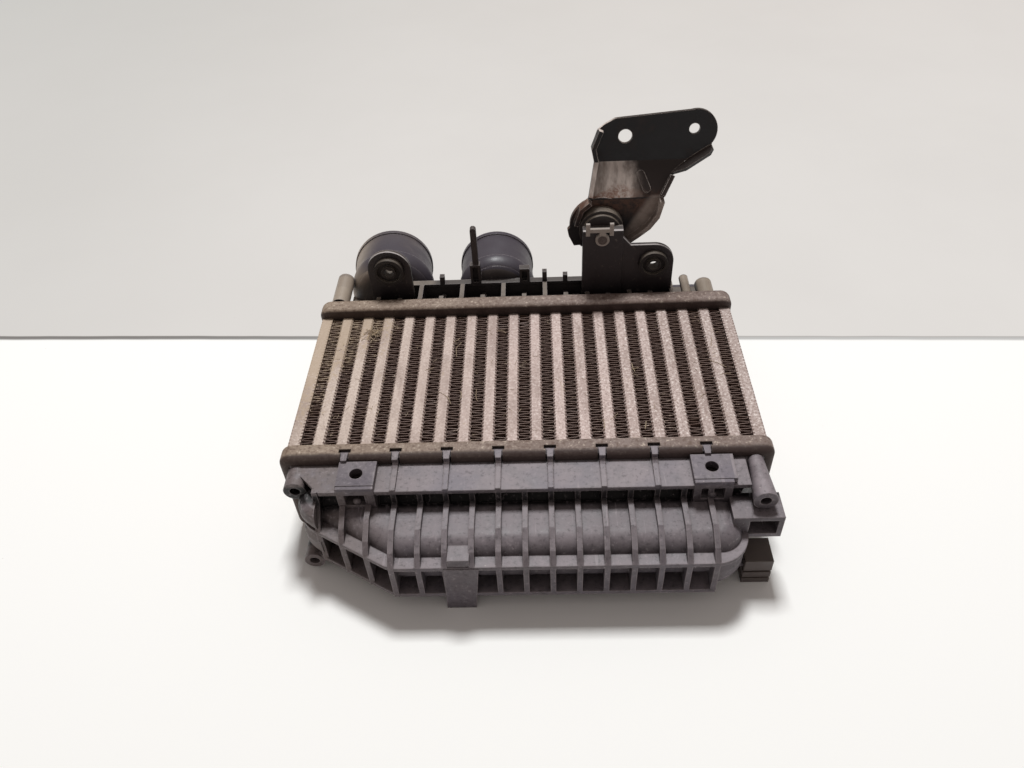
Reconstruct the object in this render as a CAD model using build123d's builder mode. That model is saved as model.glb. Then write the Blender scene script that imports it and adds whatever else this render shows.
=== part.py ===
"""A tube-and-fin intercooler with two moulded end tanks and a stamped mounting bracket.

X runs across the tubes, Y along them, from the return tank (front) to the tank with the hose
ports (rear), and Z is up through the depth of the core. The origin is on the ground, under the
middle of the whole part. Millimetres.
"""
from build123d import *
import os
from math import cos, hypot, radians, sin, tan

os.makedirs("parts", exist_ok=True)

# ---------------------------------------------------------------- driving dimensions: the core
core_y = -9.6
core_top = 58.0
core_depth = 48.0
core_length = 119.4
tube_count = 18
tube_width = 7.4
tube_wall = 0.9
tube_chambers = 2
tube_nose = 0.9
tube_end = 3.0
fin_width = 6.6
fin_waves = 14
fin_sheet = 0.5
side_plate_width = 7.0
side_plate_sheet = 1.5

# ---------------------------------------------------------------- driving dimensions: the headers
header_length = 276.0
header_rise = 7.0
header_reach = 12.5
header_sheet = 1.6
header_base = 2.0
header_corner = 7.0
header_roll = 4.2
header_shoulder = 3.0
notch_count = 8
notch_width = 6.8
notch_reach = 7.0
notch_slot = 2.6
notch_throat = 4.8
mouth_length = 263.6
mouth_height = 51.4
gasket_thickness = 2.5
foot_ring_length = 272.2
foot_ring_height = 58.2
foot_opening_length = 258.0
foot_opening_height = 49.0

# ---------------------------------------------------------------- driving dimensions: the tanks
rib_pitch = 14.3
rib_thickness = 3.0
plate_thickness = 2.6
wall = 3.0
shelf_top = 59.0
shelf_reach = 19.2
ledge_top = 38.0
base_plate_top = 14.0
vessel_top = 46.5
vessel_bottom = 13.0
vessel_rounding = 10.5
trough_floor = 41.0
trough_end = -99.5
front_face_y = -136.0
front_left_x = -126.0
front_right_x = 119.0
front_corner_x = -72.0
chamfer_angle = 30.0
front_corner_radii = (18.0, 20.0, 20.0)
front_ribs = range(-8, 8)
front_slope_end = -100.0
rear_face_y = 103.0
rear_slope_end = 74.0
rear_half_length = 126.0
rear_ribs = range(-7, 8)
strip_y = 83.5
strip_width = 5.0

# ---------------------------------------------------------------- driving dimensions: tank details
boss_width = 21.0
boss_reach = 17.2
boss_top = 63.0
boss_height = 19.2
boss_lip = 2.0
boss_hole_radius = 3.65
boss_hole_y = -91.1
boss_window_width = 12.4
left_boss_x = -92.0
right_boss_x = 101.0
nut_size = 10.0
nut_height = 5.0
nut_bore_radius = 2.5
nut_floor = 52.0
post_radius = 5.8
wide_post_radius = 6.5
slim_post_root = 4.4
post_bore_radius = 2.95
post_bore_depth = 12.0
loop_right_x = 137.0
loop_y = -99.2
loop_reach = 17.0
loop_top = 50.0
loop_height = 16.5
loop_wall = 2.8
pad_face_y = -136.5
buffer_left_x = 119.3
buffer_right_x = 134.6
buffer_y = -107.5
buffer_reach = 15.5
buffer_height = 20.0
lug_y = 69.3
lug_thickness = 3.2
lug_hole_z = 82.8
left_lug_x = -89.8
left_lug_radius = 14.4
left_lug_hole = 10.0
right_lug_x = 86.2
right_lug_radius = 13.4
right_lug_hole = 9.5
grommet_proud = 3.8
grommet_bore_radius = 3.2
lug_root_z = 44.0
column_left_x = 39.5
column_right_x = 65.5
column_y = 68.5
column_thickness = 7.0
column_top = 108.5

# ---------------------------------------------------------------- driving dimensions: hose ports
port_wall = 2.8
port_bead = 0.8
spigot_length = 34.0
port_length = 46.0
left_port_rim = (-98.8, 130.9, 42.4)
left_port_radius = 28.2
left_port_turn = 7.0
left_port_drop = 8.0
right_port_rim = (-21.0, 131.9, 41.2)
right_port_radius = 26.2
right_port_turn = 2.0
right_port_drop = 5.0

# ---------------------------------------------------------------- driving dimensions: the bracket
bush_x = 52.0
bush_z = 103.0
bush_radius = 14.5
bush_neck_radius = 12.5
bush_bore_radius = 5.0
pin_radius = 3.0
clip_x = 50.2
clip_width = 15.2
clip_bar_z = 110.6
bracket_sheet = 2.8
bracket_y = 84.5
bracket_lean = 11.0
web_slope = 35.8
web_bottom_z = 122.0
web_length = 23.4
flange_depth = 7.0
large_hole_at = (67.0, 15.9)
large_hole_radius = 4.4
small_hole_at = (110.1, 19.1)
small_hole_radius = 3.4
arm_end_radius = 13.3
arm_flange_depth = 5.6
arm_flange_angle = 55.0

# ---------------------------------------------------------------- derived places
core_bottom = core_top - core_depth
core_middle = (core_top + core_bottom) / 2
core_pitch = tube_width + fin_width
front_plate_y = core_y - core_length / 2
rear_plate_y = core_y + core_length / 2
front_edge_y = front_plate_y - header_reach
rear_edge_y = rear_plate_y + header_reach
header_height = core_depth + 2 * header_rise
foot_depth = header_reach - header_base - header_sheet
first_rib_x = front_ribs[0] * rib_pitch
last_rib_x = front_ribs[-1] * rib_pitch


def upright(y):
    """A plane across the part at this Y: sketch x is X, sketch y is Z, and it faces the front."""
    return Plane.XZ.offset(-y)


def save(part, name):
    """Labels a finished piece and writes it to its own file."""
    part.label = name
    export_step(part, "parts/" + name + ".step")


# ---------------------------------------------------------------- the core
def make_tube(x):
    """An extruded flat tube with a blunt chamfered nose and webs inside."""
    chamber_height = (core_depth - (tube_chambers + 1) * tube_wall) / tube_chambers
    with BuildPart() as tube:
        with BuildSketch(upright(rear_plate_y + tube_end)):
            with Locations((x, core_middle)):
                Rectangle(tube_width, core_depth)
            chamfer(vertices(), tube_nose)
            with Locations((x, core_middle)):
                with GridLocations(0, chamber_height + tube_wall, 1, tube_chambers):
                    Rectangle(tube_width - 2 * tube_wall, chamber_height, mode=Mode.SUBTRACT)
        extrude(amount=core_length + 2 * tube_end)
    return tube.part


def make_fin(x):
    """A corrugated strip: one folded sheet that fills the gap between two tubes."""
    half_wave = core_length / fin_waves / 2
    spread = fin_sheet * hypot(fin_width, half_wave) / half_wave
    reach = (fin_width - spread) / 2
    near_side = []
    far_side = []
    for n in range(2 * fin_waves + 1):
        side = reach if n % 2 else -reach
        y = front_plate_y + n * half_wave
        near_side.append((x + side - spread / 2, y))
        far_side.append((x + side + spread / 2, y))
    with BuildPart() as fin:
        with BuildSketch(Plane.XY.offset(core_bottom + 1)):
            Polygon(*near_side, *reversed(far_side), align=None)
        extrude(amount=core_depth - 2)
    return fin.part


def make_side_plate(side):
    """An end channel of the core, with its flanges turned outwards."""
    web_x = side * (tube_count * tube_width + (tube_count + 1) * fin_width) / 2
    with BuildPart() as side_plate:
        with BuildSketch(upright(rear_plate_y)):
            with Locations((web_x + side * side_plate_width / 2, core_middle)):
                Rectangle(side_plate_width, core_depth)
            inside = side_plate_width - side_plate_sheet
            with Locations((web_x + side * (side_plate_sheet + inside / 2), core_middle)):
                Rectangle(inside, core_depth - 2 * side_plate_sheet, mode=Mode.SUBTRACT)
        extrude(amount=core_length)
    return side_plate.part


for index in range(tube_count):
    save(make_tube((index - (tube_count - 1) / 2) * core_pitch), "tube_%02d" % (index + 1))
for index in range(tube_count + 1):
    save(make_fin((index - tube_count / 2) * core_pitch), "fin_%02d" % (index + 1))
save(make_side_plate(-1), "side_plate_left")
save(make_side_plate(1), "side_plate_right")


# ---------------------------------------------------------------- headers and gaskets
def make_header(plate_y, outward):
    """A pressed header tray: slots for the tubes, and a crimped rim with T-shaped notches."""
    mid_y = plate_y + outward * header_reach / 2
    edge_y = plate_y + outward * header_reach
    with BuildPart() as header:
        with BuildSketch(upright(mid_y)):
            with Locations((0, core_middle)):
                RectangleRounded(header_length, header_height, header_corner)
        extrude(amount=header_reach / 2, both=True)
        rim = header.faces().filter_by(Axis.Y).sort_by(Axis.Y)[-1 if outward > 0 else 0]
        fillet(rim.edges(), header_roll)
        plate_face = header.faces().filter_by(Axis.Y).sort_by(Axis.Y)[0 if outward > 0 else -1]
        fillet(plate_face.edges(), header_shoulder)
        with BuildSketch(upright(plate_y + outward * header_base)):
            with Locations((0, core_middle)):
                RectangleRounded(
                    header_length - 2 * header_sheet,
                    header_height - 2 * header_sheet,
                    header_corner - header_sheet,
                )
        extrude(amount=-outward * foot_depth, mode=Mode.SUBTRACT)
        with BuildSketch(upright(edge_y)):
            with Locations((0, core_middle)):
                Rectangle(mouth_length, mouth_height)
        extrude(amount=outward * 2 * header_sheet, mode=Mode.SUBTRACT)
        with BuildSketch(upright(plate_y)):
            with Locations((0, core_middle)):
                with GridLocations(core_pitch, 0, tube_count, 1):
                    Rectangle(tube_width, core_depth)
                    chamfer(vertices(), tube_nose)
        extrude(amount=-outward * header_base, mode=Mode.SUBTRACT)
        slot_y = edge_y - outward * (notch_reach - notch_slot / 2)
        throat_y = edge_y - outward * notch_reach / 2
        notch_depth = header_height / 2 if outward < 0 else header_height / 2 - header_roll
        with BuildSketch(Plane.XY.offset(core_middle)):
            with Locations((0, slot_y)):
                with GridLocations(2 * rib_pitch, 0, notch_count, 1):
                    Rectangle(notch_width, notch_slot)
            with Locations((0, throat_y)):
                with GridLocations(2 * rib_pitch, 0, notch_count, 1):
                    Rectangle(notch_throat, notch_reach)
        extrude(amount=notch_depth, both=True, mode=Mode.SUBTRACT)
    return header.part


def make_gasket(plate_y, outward):
    """The sealing ring that the crimp presses between a header and its tank."""
    with BuildPart() as gasket:
        with BuildSketch(upright(plate_y + outward * header_base)):
            with Locations((0, core_middle)):
                RectangleRounded(foot_ring_length, foot_ring_height, header_corner - header_sheet)
                Rectangle(foot_opening_length, foot_opening_height, mode=Mode.SUBTRACT)
        extrude(amount=-outward * gasket_thickness)
    return gasket.part


save(make_header(front_plate_y, -1), "header_front")
save(make_header(rear_plate_y, 1), "header_rear")
save(make_gasket(front_plate_y, -1), "gasket_front")
save(make_gasket(rear_plate_y, 1), "gasket_rear")


# ---------------------------------------------------------------- shared by both tanks
def block(x_span, y_span, z_span, mode=Mode.ADD):
    """A plain block between the given limits, added to the piece being built."""
    with BuildSketch(Plane.XY.offset(z_span[0])) as outline:
        with Locations(((x_span[0] + x_span[1]) / 2, (y_span[0] + y_span[1]) / 2)):
            Rectangle(x_span[1] - x_span[0], y_span[1] - y_span[0])
    extrude(outline.sketch, amount=z_span[1] - z_span[0], mode=mode)


def side_profile(x, thickness, points, mode=Mode.ADD):
    """A slab of this thickness, centred on x, whose outline is drawn in Y and Z."""
    with BuildSketch(Plane.YZ.offset(x - thickness / 2)) as outline:
        Polygon(*points, align=None)
    extrude(outline.sketch, amount=thickness, mode=mode)


def foot_flange(plate_y, outward):
    """The flange of a tank, which the header's rim holds down on the gasket, and its collar."""
    with BuildSketch(upright(plate_y + outward * (header_base + gasket_thickness))) as ring:
        with Locations((0, core_middle)):
            RectangleRounded(foot_ring_length, foot_ring_height, header_corner - header_sheet)
    extrude(ring.sketch, amount=-outward * (foot_depth - gasket_thickness))
    with BuildSketch(upright(plate_y + outward * header_reach)) as collar:
        with Locations((0, core_middle)):
            Rectangle(mouth_length - 0.6, mouth_height - 0.6)
    extrude(collar.sketch, amount=outward * 2 * header_sheet)


def foot_opening(plate_y, outward):
    """The opening inside the flange, over the tubes' ends."""
    with BuildSketch(upright(plate_y + outward * (header_base + gasket_thickness))) as outline:
        with Locations((0, core_middle)):
            Rectangle(foot_opening_length, foot_opening_height)
    depth = header_reach - header_base - gasket_thickness
    extrude(outline.sketch, amount=-outward * depth, mode=Mode.SUBTRACT)


def tapered_neck(edge_y, end_y, spans, low_z, high_z, mode=Mode.ADD):
    """The sloping walls between a tank's flange and its vessel, or the hollow inside them."""
    sections = []
    for y, span, low, high in (
        (edge_y, spans[0], low_z[0], high_z[0]),
        (end_y, spans[1], low_z[1], high_z[1]),
    ):
        with BuildSketch(upright(y)) as section:
            with Locations(((span[0] + span[1]) / 2, (low + high) / 2)):
                Rectangle(span[1] - span[0], high - low)
        sections.append(section.sketch)
    loft(sections, mode=mode)


def post(x, z, start_y, end_y, root_radius=post_radius, end_radius=post_radius):
    """A round screw post that runs out from the flange, with a blind hole in its end."""
    outward = 1 if end_y > start_y else -1
    sections = []
    for y, radius in ((start_y, root_radius), (end_y, end_radius)):
        with BuildSketch(upright(y)) as outline:
            with Locations((x, z)):
                Circle(radius)
        sections.append(outline.sketch)
    loft(sections)
    with BuildSketch(upright(end_y)) as bore:
        with Locations((x, z)):
            Circle(post_bore_radius)
    extrude(bore.sketch, amount=outward * post_bore_depth, mode=Mode.SUBTRACT)


def crimp_tab(x, edge_y, outward, top):
    """The tapered tab that fills a notch of the header's rim, and carries on as a low rib."""
    tab_root = edge_y - outward * 4.8
    tab_end = edge_y + outward * 1.2
    run_end = edge_y + outward * shelf_reach
    with BuildSketch(Plane.XY.offset(core_top - 1)) as outline:
        Polygon((x - 2.0, tab_root), (x + 2.0, tab_root), (x + 1.6, tab_end), (x - 1.6, tab_end), align=None)
    extrude(outline.sketch, amount=top - core_top + 1)
    side_profile(
        x,
        rib_thickness,
        (
            (tab_end, shelf_top - 1),
            (tab_end, shelf_top + 3),
            (tab_end + outward * 3, shelf_top + 1.5),
            (run_end, shelf_top + 1.2),
            (run_end, shelf_top - 1),
        ),
    )


# ---------------------------------------------------------------- front tank
def front_plan(front_inset, side_inset):
    """The tank's outline from above: one end is cut off at a slant, the other is rounded."""
    slope = tan(radians(chamfer_angle))
    lean = 1 / cos(radians(chamfer_angle))
    left = front_left_x + side_inset
    right = front_right_x - side_inset
    face = front_face_y + front_inset
    corner = front_corner_x + front_inset * (lean - 1) / slope
    shoulder = front_face_y + front_inset * lean + (front_corner_x - left) * slope
    with BuildLine() as outline:
        FilletPolyline(
            (left, front_edge_y),
            (left, shoulder),
            (corner, face),
            (right, face),
            (right, front_edge_y),
            radius=[radius - front_inset for radius in front_corner_radii],
        )
        Line((right, front_edge_y), (left, front_edge_y))
    return outline.line


def plan_between(x_span, z, inset):
    """The part of the front tank's outline, less this inset, that lies between two limits in X."""
    with BuildSketch(Plane.XY.offset(z)) as outline:
        make_face(front_plan(inset, inset))
        with Locations(((x_span[0] + x_span[1]) / 2, (front_face_y + front_edge_y) / 2)):
            Rectangle(x_span[1] - x_span[0], 80, mode=Mode.INTERSECT)
    return outline.sketch


def front_plate(top, right_x):
    """A flat stiffening plate of the front tank's outline, as far as this limit in X."""
    outline = plan_between((-140, right_x), top - plate_thickness, 0)
    extrude(outline, amount=plate_thickness)


def end_bulge(x_span, z_span, grow, rounding):
    """A rounded swelling at one end of the front tank, between two levels."""
    sections = []
    for turn in (15, 50, 90):
        inset = rounding * (1 - sin(radians(turn))) - grow
        rise = rounding * (1 - cos(radians(turn)))
        sections.append((z_span[0] + rise, inset))
    sections += [(z_span[0] + z_span[1] - level, inset) for level, inset in reversed(sections)]
    loft([plan_between(x_span, level, inset) for level, inset in sections], ruled=True)


def mounting_boss(x):
    """A square boss over the shelf, with a bolt hole in its top."""
    block(
        (x - boss_width / 2, x + boss_width / 2),
        (front_edge_y - 0.6 - boss_reach, front_edge_y - 0.6),
        (boss_top - boss_height, boss_top),
    )


def boss_cavity(x):
    """The nut's pocket, its window in the boss's face, and the bolt hole over it."""
    face_y = front_edge_y - 0.6 - boss_reach
    half = boss_window_width / 2
    block((x - half, x + half), (face_y, face_y + 5), (48.8, 58), Mode.SUBTRACT)
    block((x - half, x + half), (face_y, boss_hole_y + 5.6), (nut_floor, 58), Mode.SUBTRACT)
    with BuildSketch(Plane.XY.offset(boss_top)) as bolt_hole:
        with Locations((x, boss_hole_y)):
            Circle(boss_hole_radius)
    extrude(bolt_hole.sketch, amount=-8, mode=Mode.SUBTRACT)


with BuildPart() as front_hollow:
    with BuildSketch(Plane.XY.offset(vessel_bottom + wall)):
        make_face(front_plan(7 + wall, 3 + wall))
    extrude(amount=vessel_top - vessel_bottom - 2 * wall)
    hollow_rims = front_hollow.edges().filter_by(
        lambda edge: abs(edge.center().Z - (vessel_top + vessel_bottom) / 2) > 12
        and edge.center().Y < front_edge_y - 1
    )
    chamfer(hollow_rims, 6)
    block(
        (-140, 140),
        (trough_end - wall, front_edge_y),
        (trough_floor - wall, vessel_top),
        Mode.SUBTRACT,
    )

with BuildPart() as tank_front:
    # the rounded vessel, its neck and its flange
    with BuildSketch(Plane.XY.offset(vessel_bottom)):
        make_face(front_plan(7, 3))
    extrude(amount=vessel_top - vessel_bottom)
    rims = tank_front.edges().filter_by(
        lambda edge: abs(edge.center().Z - (vessel_top + vessel_bottom) / 2) > 15
        and edge.center().Y < front_edge_y - 1
    )
    fillet(rims, vessel_rounding)
    block((-140, 140), (trough_end, front_edge_y), (trough_floor, vessel_top), Mode.SUBTRACT)
    foot_flange(front_plate_y, -1)
    tapered_neck(
        front_edge_y, front_slope_end, ((-131, 131), (-120, 114)), (8.8, 15), (shelf_top, trough_floor)
    )
    # stiffening plates and ribs
    with BuildSketch(Plane.XY.offset(shelf_top - plate_thickness)):
        Polygon(
            (-131, front_edge_y),
            (121, front_edge_y),
            (121, front_edge_y - shelf_reach),
            (-112, front_edge_y - shelf_reach),
            align=None,
        )
    extrude(amount=plate_thickness)
    front_plate(ledge_top, front_right_x)
    front_plate(base_plate_top, last_rib_x + rib_thickness / 2)
    # the rounded ends, which swell out to the plates' outline
    end_bulge((-140, first_rib_x), (ledge_top - 1, 52.5), 0.6, 6.5)
    end_bulge((-140, first_rib_x), (vessel_bottom, ledge_top - 2), 0.8, 8.0)
    end_bulge((last_rib_x, 140), (vessel_bottom, ledge_top - 1), -0.8, 9.0)
    for count in front_ribs:
        rib_x = count * rib_pitch
        slant_y = front_face_y + max(0, front_corner_x - rib_x) * tan(radians(chamfer_angle))
        side_profile(
            rib_x,
            rib_thickness,
            (
                (front_edge_y, shelf_top),
                (front_edge_y - shelf_reach, shelf_top),
                (front_edge_y - shelf_reach, vessel_top + 3),
                (min(front_edge_y - shelf_reach, slant_y + 17), vessel_top + 3),
                (slant_y + 5.5, ledge_top + 6),
                (slant_y, ledge_top),
                (slant_y, base_plate_top - plate_thickness),
                (front_edge_y, base_plate_top - plate_thickness),
            ),
        )
        if count % 2:
            crimp_tab(rib_x, front_edge_y, -1, core_top + header_rise - 0.4)
    mounting_boss(left_boss_x)
    mounting_boss(right_boss_x)
    block(
        (right_boss_x, right_boss_x + boss_width / 2 + boss_lip),
        (front_edge_y - 0.6 - boss_reach, front_edge_y - 0.6),
        (boss_top - 3.6, boss_top),
    )
    # the clip loop and the buffer's tongue on the right end
    block((110, loop_right_x), (loop_y - loop_reach, loop_y), (loop_top - loop_height, loop_top))
    block((110, buffer_left_x + 10), (-120, -110.5), (base_plate_top - plate_thickness, base_plate_top))
    # the pad that the part stands on, between two ribs
    with BuildSketch(upright(pad_face_y)):
        Polygon((-43.4, 37), (-24.9, 37), (-28.5, 0), (-44.8, 0), align=None)
    extrude(amount=-13)
    block((-41.2, -29.6), (pad_face_y + 1, pad_face_y + 13), (35, 43.6))
    # the hollow
    add(front_hollow.part, mode=Mode.SUBTRACT)
    tapered_neck(
        front_edge_y,
        front_slope_end - wall,
        ((-128, 128), (-116, 111)),
        (12, 18),
        (56, trough_floor - wall - 1),
        Mode.SUBTRACT,
    )
    foot_opening(front_plate_y, -1)
    # what is cut last: pockets, windows and screw holes
    boss_cavity(left_boss_x)
    boss_cavity(right_boss_x)
    block(
        (front_right_x, loop_right_x - loop_wall),
        (loop_y - loop_reach, loop_y),
        (loop_top - loop_height + loop_wall, loop_top - loop_wall),
        Mode.SUBTRACT,
    )
    post(-127.2, 53.0, front_edge_y, -94.7, wide_post_radius, wide_post_radius)
    post(-122.5, 9.0, front_edge_y, -110.0)
    post(126.7, 57.0, front_edge_y, -110.6, slim_post_root, wide_post_radius)
save(tank_front.part, "tank_front")


# ---------------------------------------------------------------- rear tank
def rear_plate(top):
    """A flat stiffening plate of the rear tank's full outline."""
    with BuildSketch(Plane.XY.offset(top - plate_thickness)) as outline:
        with Locations((0, (rear_edge_y + rear_face_y) / 2)):
            Rectangle(2 * rear_half_length, rear_face_y - rear_edge_y)
    extrude(outline.sketch, amount=plate_thickness)


def port_plane(rim, turn, drop, back=0.0):
    """A plane across a hose port, this far back from its rim and facing out along its axis."""
    side = radians(turn)
    down = radians(drop)
    axis = Vector(-sin(side) * cos(down), cos(side) * cos(down), -sin(down))
    return Plane(origin=Vector(*rim) - axis * back, x_dir=(cos(side), sin(side), 0), z_dir=axis)


def port_round(plane, radius, length, mode=Mode.ADD):
    """A round length of a port, from this plane back towards the tank."""
    with BuildSketch(plane) as outline:
        Circle(radius)
    extrude(outline.sketch, amount=-length, mode=mode)


def port_body(rim, turn, drop, radius):
    """A hose spigot with a bead at its rim, and the domed elbow that joins it to the tank."""
    with BuildPart() as port:
        port_round(port_plane(rim, turn, drop), radius, spigot_length)
        port_round(port_plane(rim, turn, drop), radius + port_bead, 4.0)
        port_round(port_plane(rim, turn, drop, spigot_length), radius + 1.2, port_length - spigot_length)
        dome = port.faces().sort_by(Axis.Y)[0].edges()
        fillet(dome, port_length - spigot_length - 1)
    return port.part


def port_bore(rim, turn, drop, radius):
    """The open bore of a hose port, which runs on into the tank's hollow."""
    port_round(port_plane(rim, turn, drop), radius - port_wall, port_length - port_wall, Mode.SUBTRACT)


def lug(x, radius, arch_z, hole_radius, arm_x):
    """An upright lug with a round top and a hole, and an arm that reaches to the column."""
    with BuildSketch(upright(lug_y)) as outline:
        with Locations((x, arch_z)):
            Circle(radius)
        with Locations((x, (lug_root_z + arch_z) / 2)):
            Rectangle(2 * radius, arch_z - lug_root_z)
        with Locations(((x + arm_x) / 2, (lug_root_z + arch_z + radius) / 2)):
            Rectangle(x - arm_x, arch_z + radius - lug_root_z)
        with Locations((x, lug_hole_z)):
            Circle(hole_radius, mode=Mode.SUBTRACT)
    extrude(outline.sketch, amount=-lug_thickness)


with BuildPart() as rear_hollow:
    with BuildSketch(Plane.XY.offset(vessel_bottom + wall)):
        with Locations((0, (rear_edge_y + rear_face_y - 5 - wall) / 2)):
            Rectangle(2 * (rear_half_length - 3 - wall), rear_face_y - 5 - wall - rear_edge_y)
    extrude(amount=vessel_top - vessel_bottom - 2 * wall)
    chamfer(rear_hollow.faces().sort_by(Axis.Y)[-1].edges(), 4.5)

with BuildPart() as tank_rear:
    # the rounded vessel, its neck and its flange
    with BuildSketch(Plane.XY.offset(vessel_bottom)):
        with Locations((0, (rear_edge_y + rear_face_y - 5) / 2)):
            Rectangle(2 * (rear_half_length - 3), rear_face_y - 5 - rear_edge_y)
    extrude(amount=vessel_top - vessel_bottom)
    fillet(tank_rear.faces().sort_by(Axis.Y)[-1].edges(), vessel_rounding)
    foot_flange(rear_plate_y, 1)
    tapered_neck(
        rear_edge_y, rear_slope_end, ((-131, 131), (-122, 122)), (8.8, 15), (shelf_top, 43)
    )
    # stiffening plates, ribs and the strip along their crests
    rear_plate(ledge_top)
    rear_plate(base_plate_top)
    block((-107, 100), (strip_y, strip_y + strip_width), (shelf_top - plate_thickness, shelf_top))
    block((-107, 100), (strip_y + 1, strip_y + 1 + plate_thickness), (vessel_top - 2, shelf_top - 1))
    for count in rear_ribs:
        rib_x = count * rib_pitch
        crest = [(rear_edge_y, shelf_top), (rear_edge_y + 8, shelf_top), (74, 50), (strip_y, 50)]
        if count % 2:
            crest = [
                (rear_edge_y, shelf_top),
                (strip_y + strip_width, shelf_top),
            ]
            crimp_tab(rib_x, rear_edge_y, 1, shelf_top - 0.4)
        side_profile(
            rib_x,
            rib_thickness,
            crest
            + [
                (rear_face_y, ledge_top),
                (rear_face_y, base_plate_top - plate_thickness),
                (rear_edge_y, base_plate_top - plate_thickness),
            ],
        )
    for count, height in ((-4, 6), (1, 8), (2, 5)):
        knob_x = count * rib_pitch
        block((knob_x - 1.6, knob_x + 1.6), (strip_y, strip_y + 4), (shelf_top - 1, shelf_top + height))
    # the lugs and the column that carries the bracket's bush
    lug(left_lug_x, left_lug_radius, 82.5, left_lug_hole, left_lug_x - 1)
    lug(right_lug_x, right_lug_radius, 83.1, right_lug_hole, column_right_x - 3)
    with BuildSketch(upright(lug_y)):
        Polygon(
            (column_right_x - 1, 94),
            (column_right_x + 7, 94),
            (column_right_x + 5, 97),
            (column_right_x, 103),
            (column_right_x - 1, 103),
            align=None,
        )
    extrude(amount=-lug_thickness)
    block((column_left_x, column_right_x), (column_y, column_y + column_thickness), (40, column_top))
    # the hose ports
    add(port_body(left_port_rim, left_port_turn, left_port_drop, left_port_radius))
    add(port_body(right_port_rim, right_port_turn, right_port_drop, right_port_radius))
    # the prong and the two clips by the right port
    with BuildSketch(upright(strip_y + 1)):
        with Locations((-33, (shelf_top + 101) / 2)):
            RectangleRounded(4, 101 - shelf_top + 4, 1.9)
    extrude(amount=-4)
    for housing_x, housing_top in ((-33.5, 74), (0.5, 70)):
        block((housing_x - 3.5, housing_x + 3.5), (strip_y, strip_y + strip_width), (shelf_top, housing_top))
        block(
            (housing_x - 1.8, housing_x + 1.8),
            (strip_y, strip_y + strip_width - 1.6),
            (shelf_top + 1, housing_top - 2),
            Mode.SUBTRACT,
        )
    # the pads that the rear tank rests on
    for side in (-1, 1):
        block((side * 90 - 8, side * 90 + 8), (75, 90), (0, base_plate_top))
    # the hollow, and what is cut last
    add(rear_hollow.part, mode=Mode.SUBTRACT)
    tapered_neck(
        rear_edge_y, rear_slope_end, ((-128, 128), (-119, 119)), (12, 18), (56, 40), Mode.SUBTRACT
    )
    foot_opening(rear_plate_y, 1)
    port_bore(left_port_rim, left_port_turn, left_port_drop, left_port_radius)
    port_bore(right_port_rim, right_port_turn, right_port_drop, right_port_radius)
    with BuildSketch(upright(column_y)):
        with Locations((bush_x, bush_z)):
            Circle(pin_radius)
    extrude(amount=-column_thickness, mode=Mode.SUBTRACT)
    post(-126.4, 58.8, rear_edge_y, 92.0)
    post(123.2, 56.6, rear_edge_y, 78.5)
    with BuildSketch(upright(rear_edge_y)):
        with Locations((110.3, 58.4)):
            Circle(3.1)
    extrude(amount=-21)
save(tank_rear.part, "tank_rear")


# ---------------------------------------------------------------- mounting bracket
def leaning(y, z, angle):
    """A plane across the part that leans back by this angle; sketch y runs up its slope."""
    lean = radians(angle)
    return Plane(origin=(0, y, z), x_dir=(1, 0, 0), z_dir=(0, -cos(lean), sin(lean)))


def flange(plane, *points):
    """A turned edge that stands forward from a sheet along the given line."""
    with BuildLine() as edge:
        Polyline(*points)
    with BuildSketch(plane) as strip:
        trace(edge.line, bracket_sheet)
    extrude(strip.sketch, amount=flange_depth)


def arm_flange(start, end, front):
    """A wide turned edge, bent less than square, that runs between two points of the sheet."""
    angle = radians(arm_flange_angle)
    run = (end - start).normalized()
    outward = front.cross(run).normalized()
    fall = outward * cos(angle) + front * sin(angle)
    length = (end - start).length
    with BuildSketch(Plane(origin=start, x_dir=run, z_dir=run.cross(fall))) as strip:
        Polygon(
            (0, 0),
            (length, 0),
            (length - 9.0, arm_flange_depth - 1.4),
            (4.0, arm_flange_depth),
            (0.6, arm_flange_depth - 2.0),
            align=None,
        )
    extrude(strip.sketch, amount=bracket_sheet / 2, both=True)
    with BuildSketch(Plane(origin=start, z_dir=run)) as rod:
        Circle(bracket_sheet / 2)
    extrude(rod.sketch, amount=length)


def fold(y, z, left_x, right_x):
    """The round outside of a fold, along X."""
    with BuildSketch(Plane.YZ.offset(left_x)) as rod:
        with Locations((y, z)):
            Circle(bracket_sheet / 2)
    extrude(rod.sketch, amount=right_x - left_x)


lower_plane = leaning(bracket_y + bracket_sheet / 2, web_bottom_z, 0)
web_plane = leaning(bracket_y + bracket_sheet / 2, web_bottom_z, web_slope)
web_top_y = bracket_y + bracket_sheet / 2 + web_length * sin(radians(web_slope))
web_top_z = web_bottom_z + web_length * cos(radians(web_slope))
upper_plane = leaning(web_top_y, web_top_z, bracket_lean)

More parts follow.
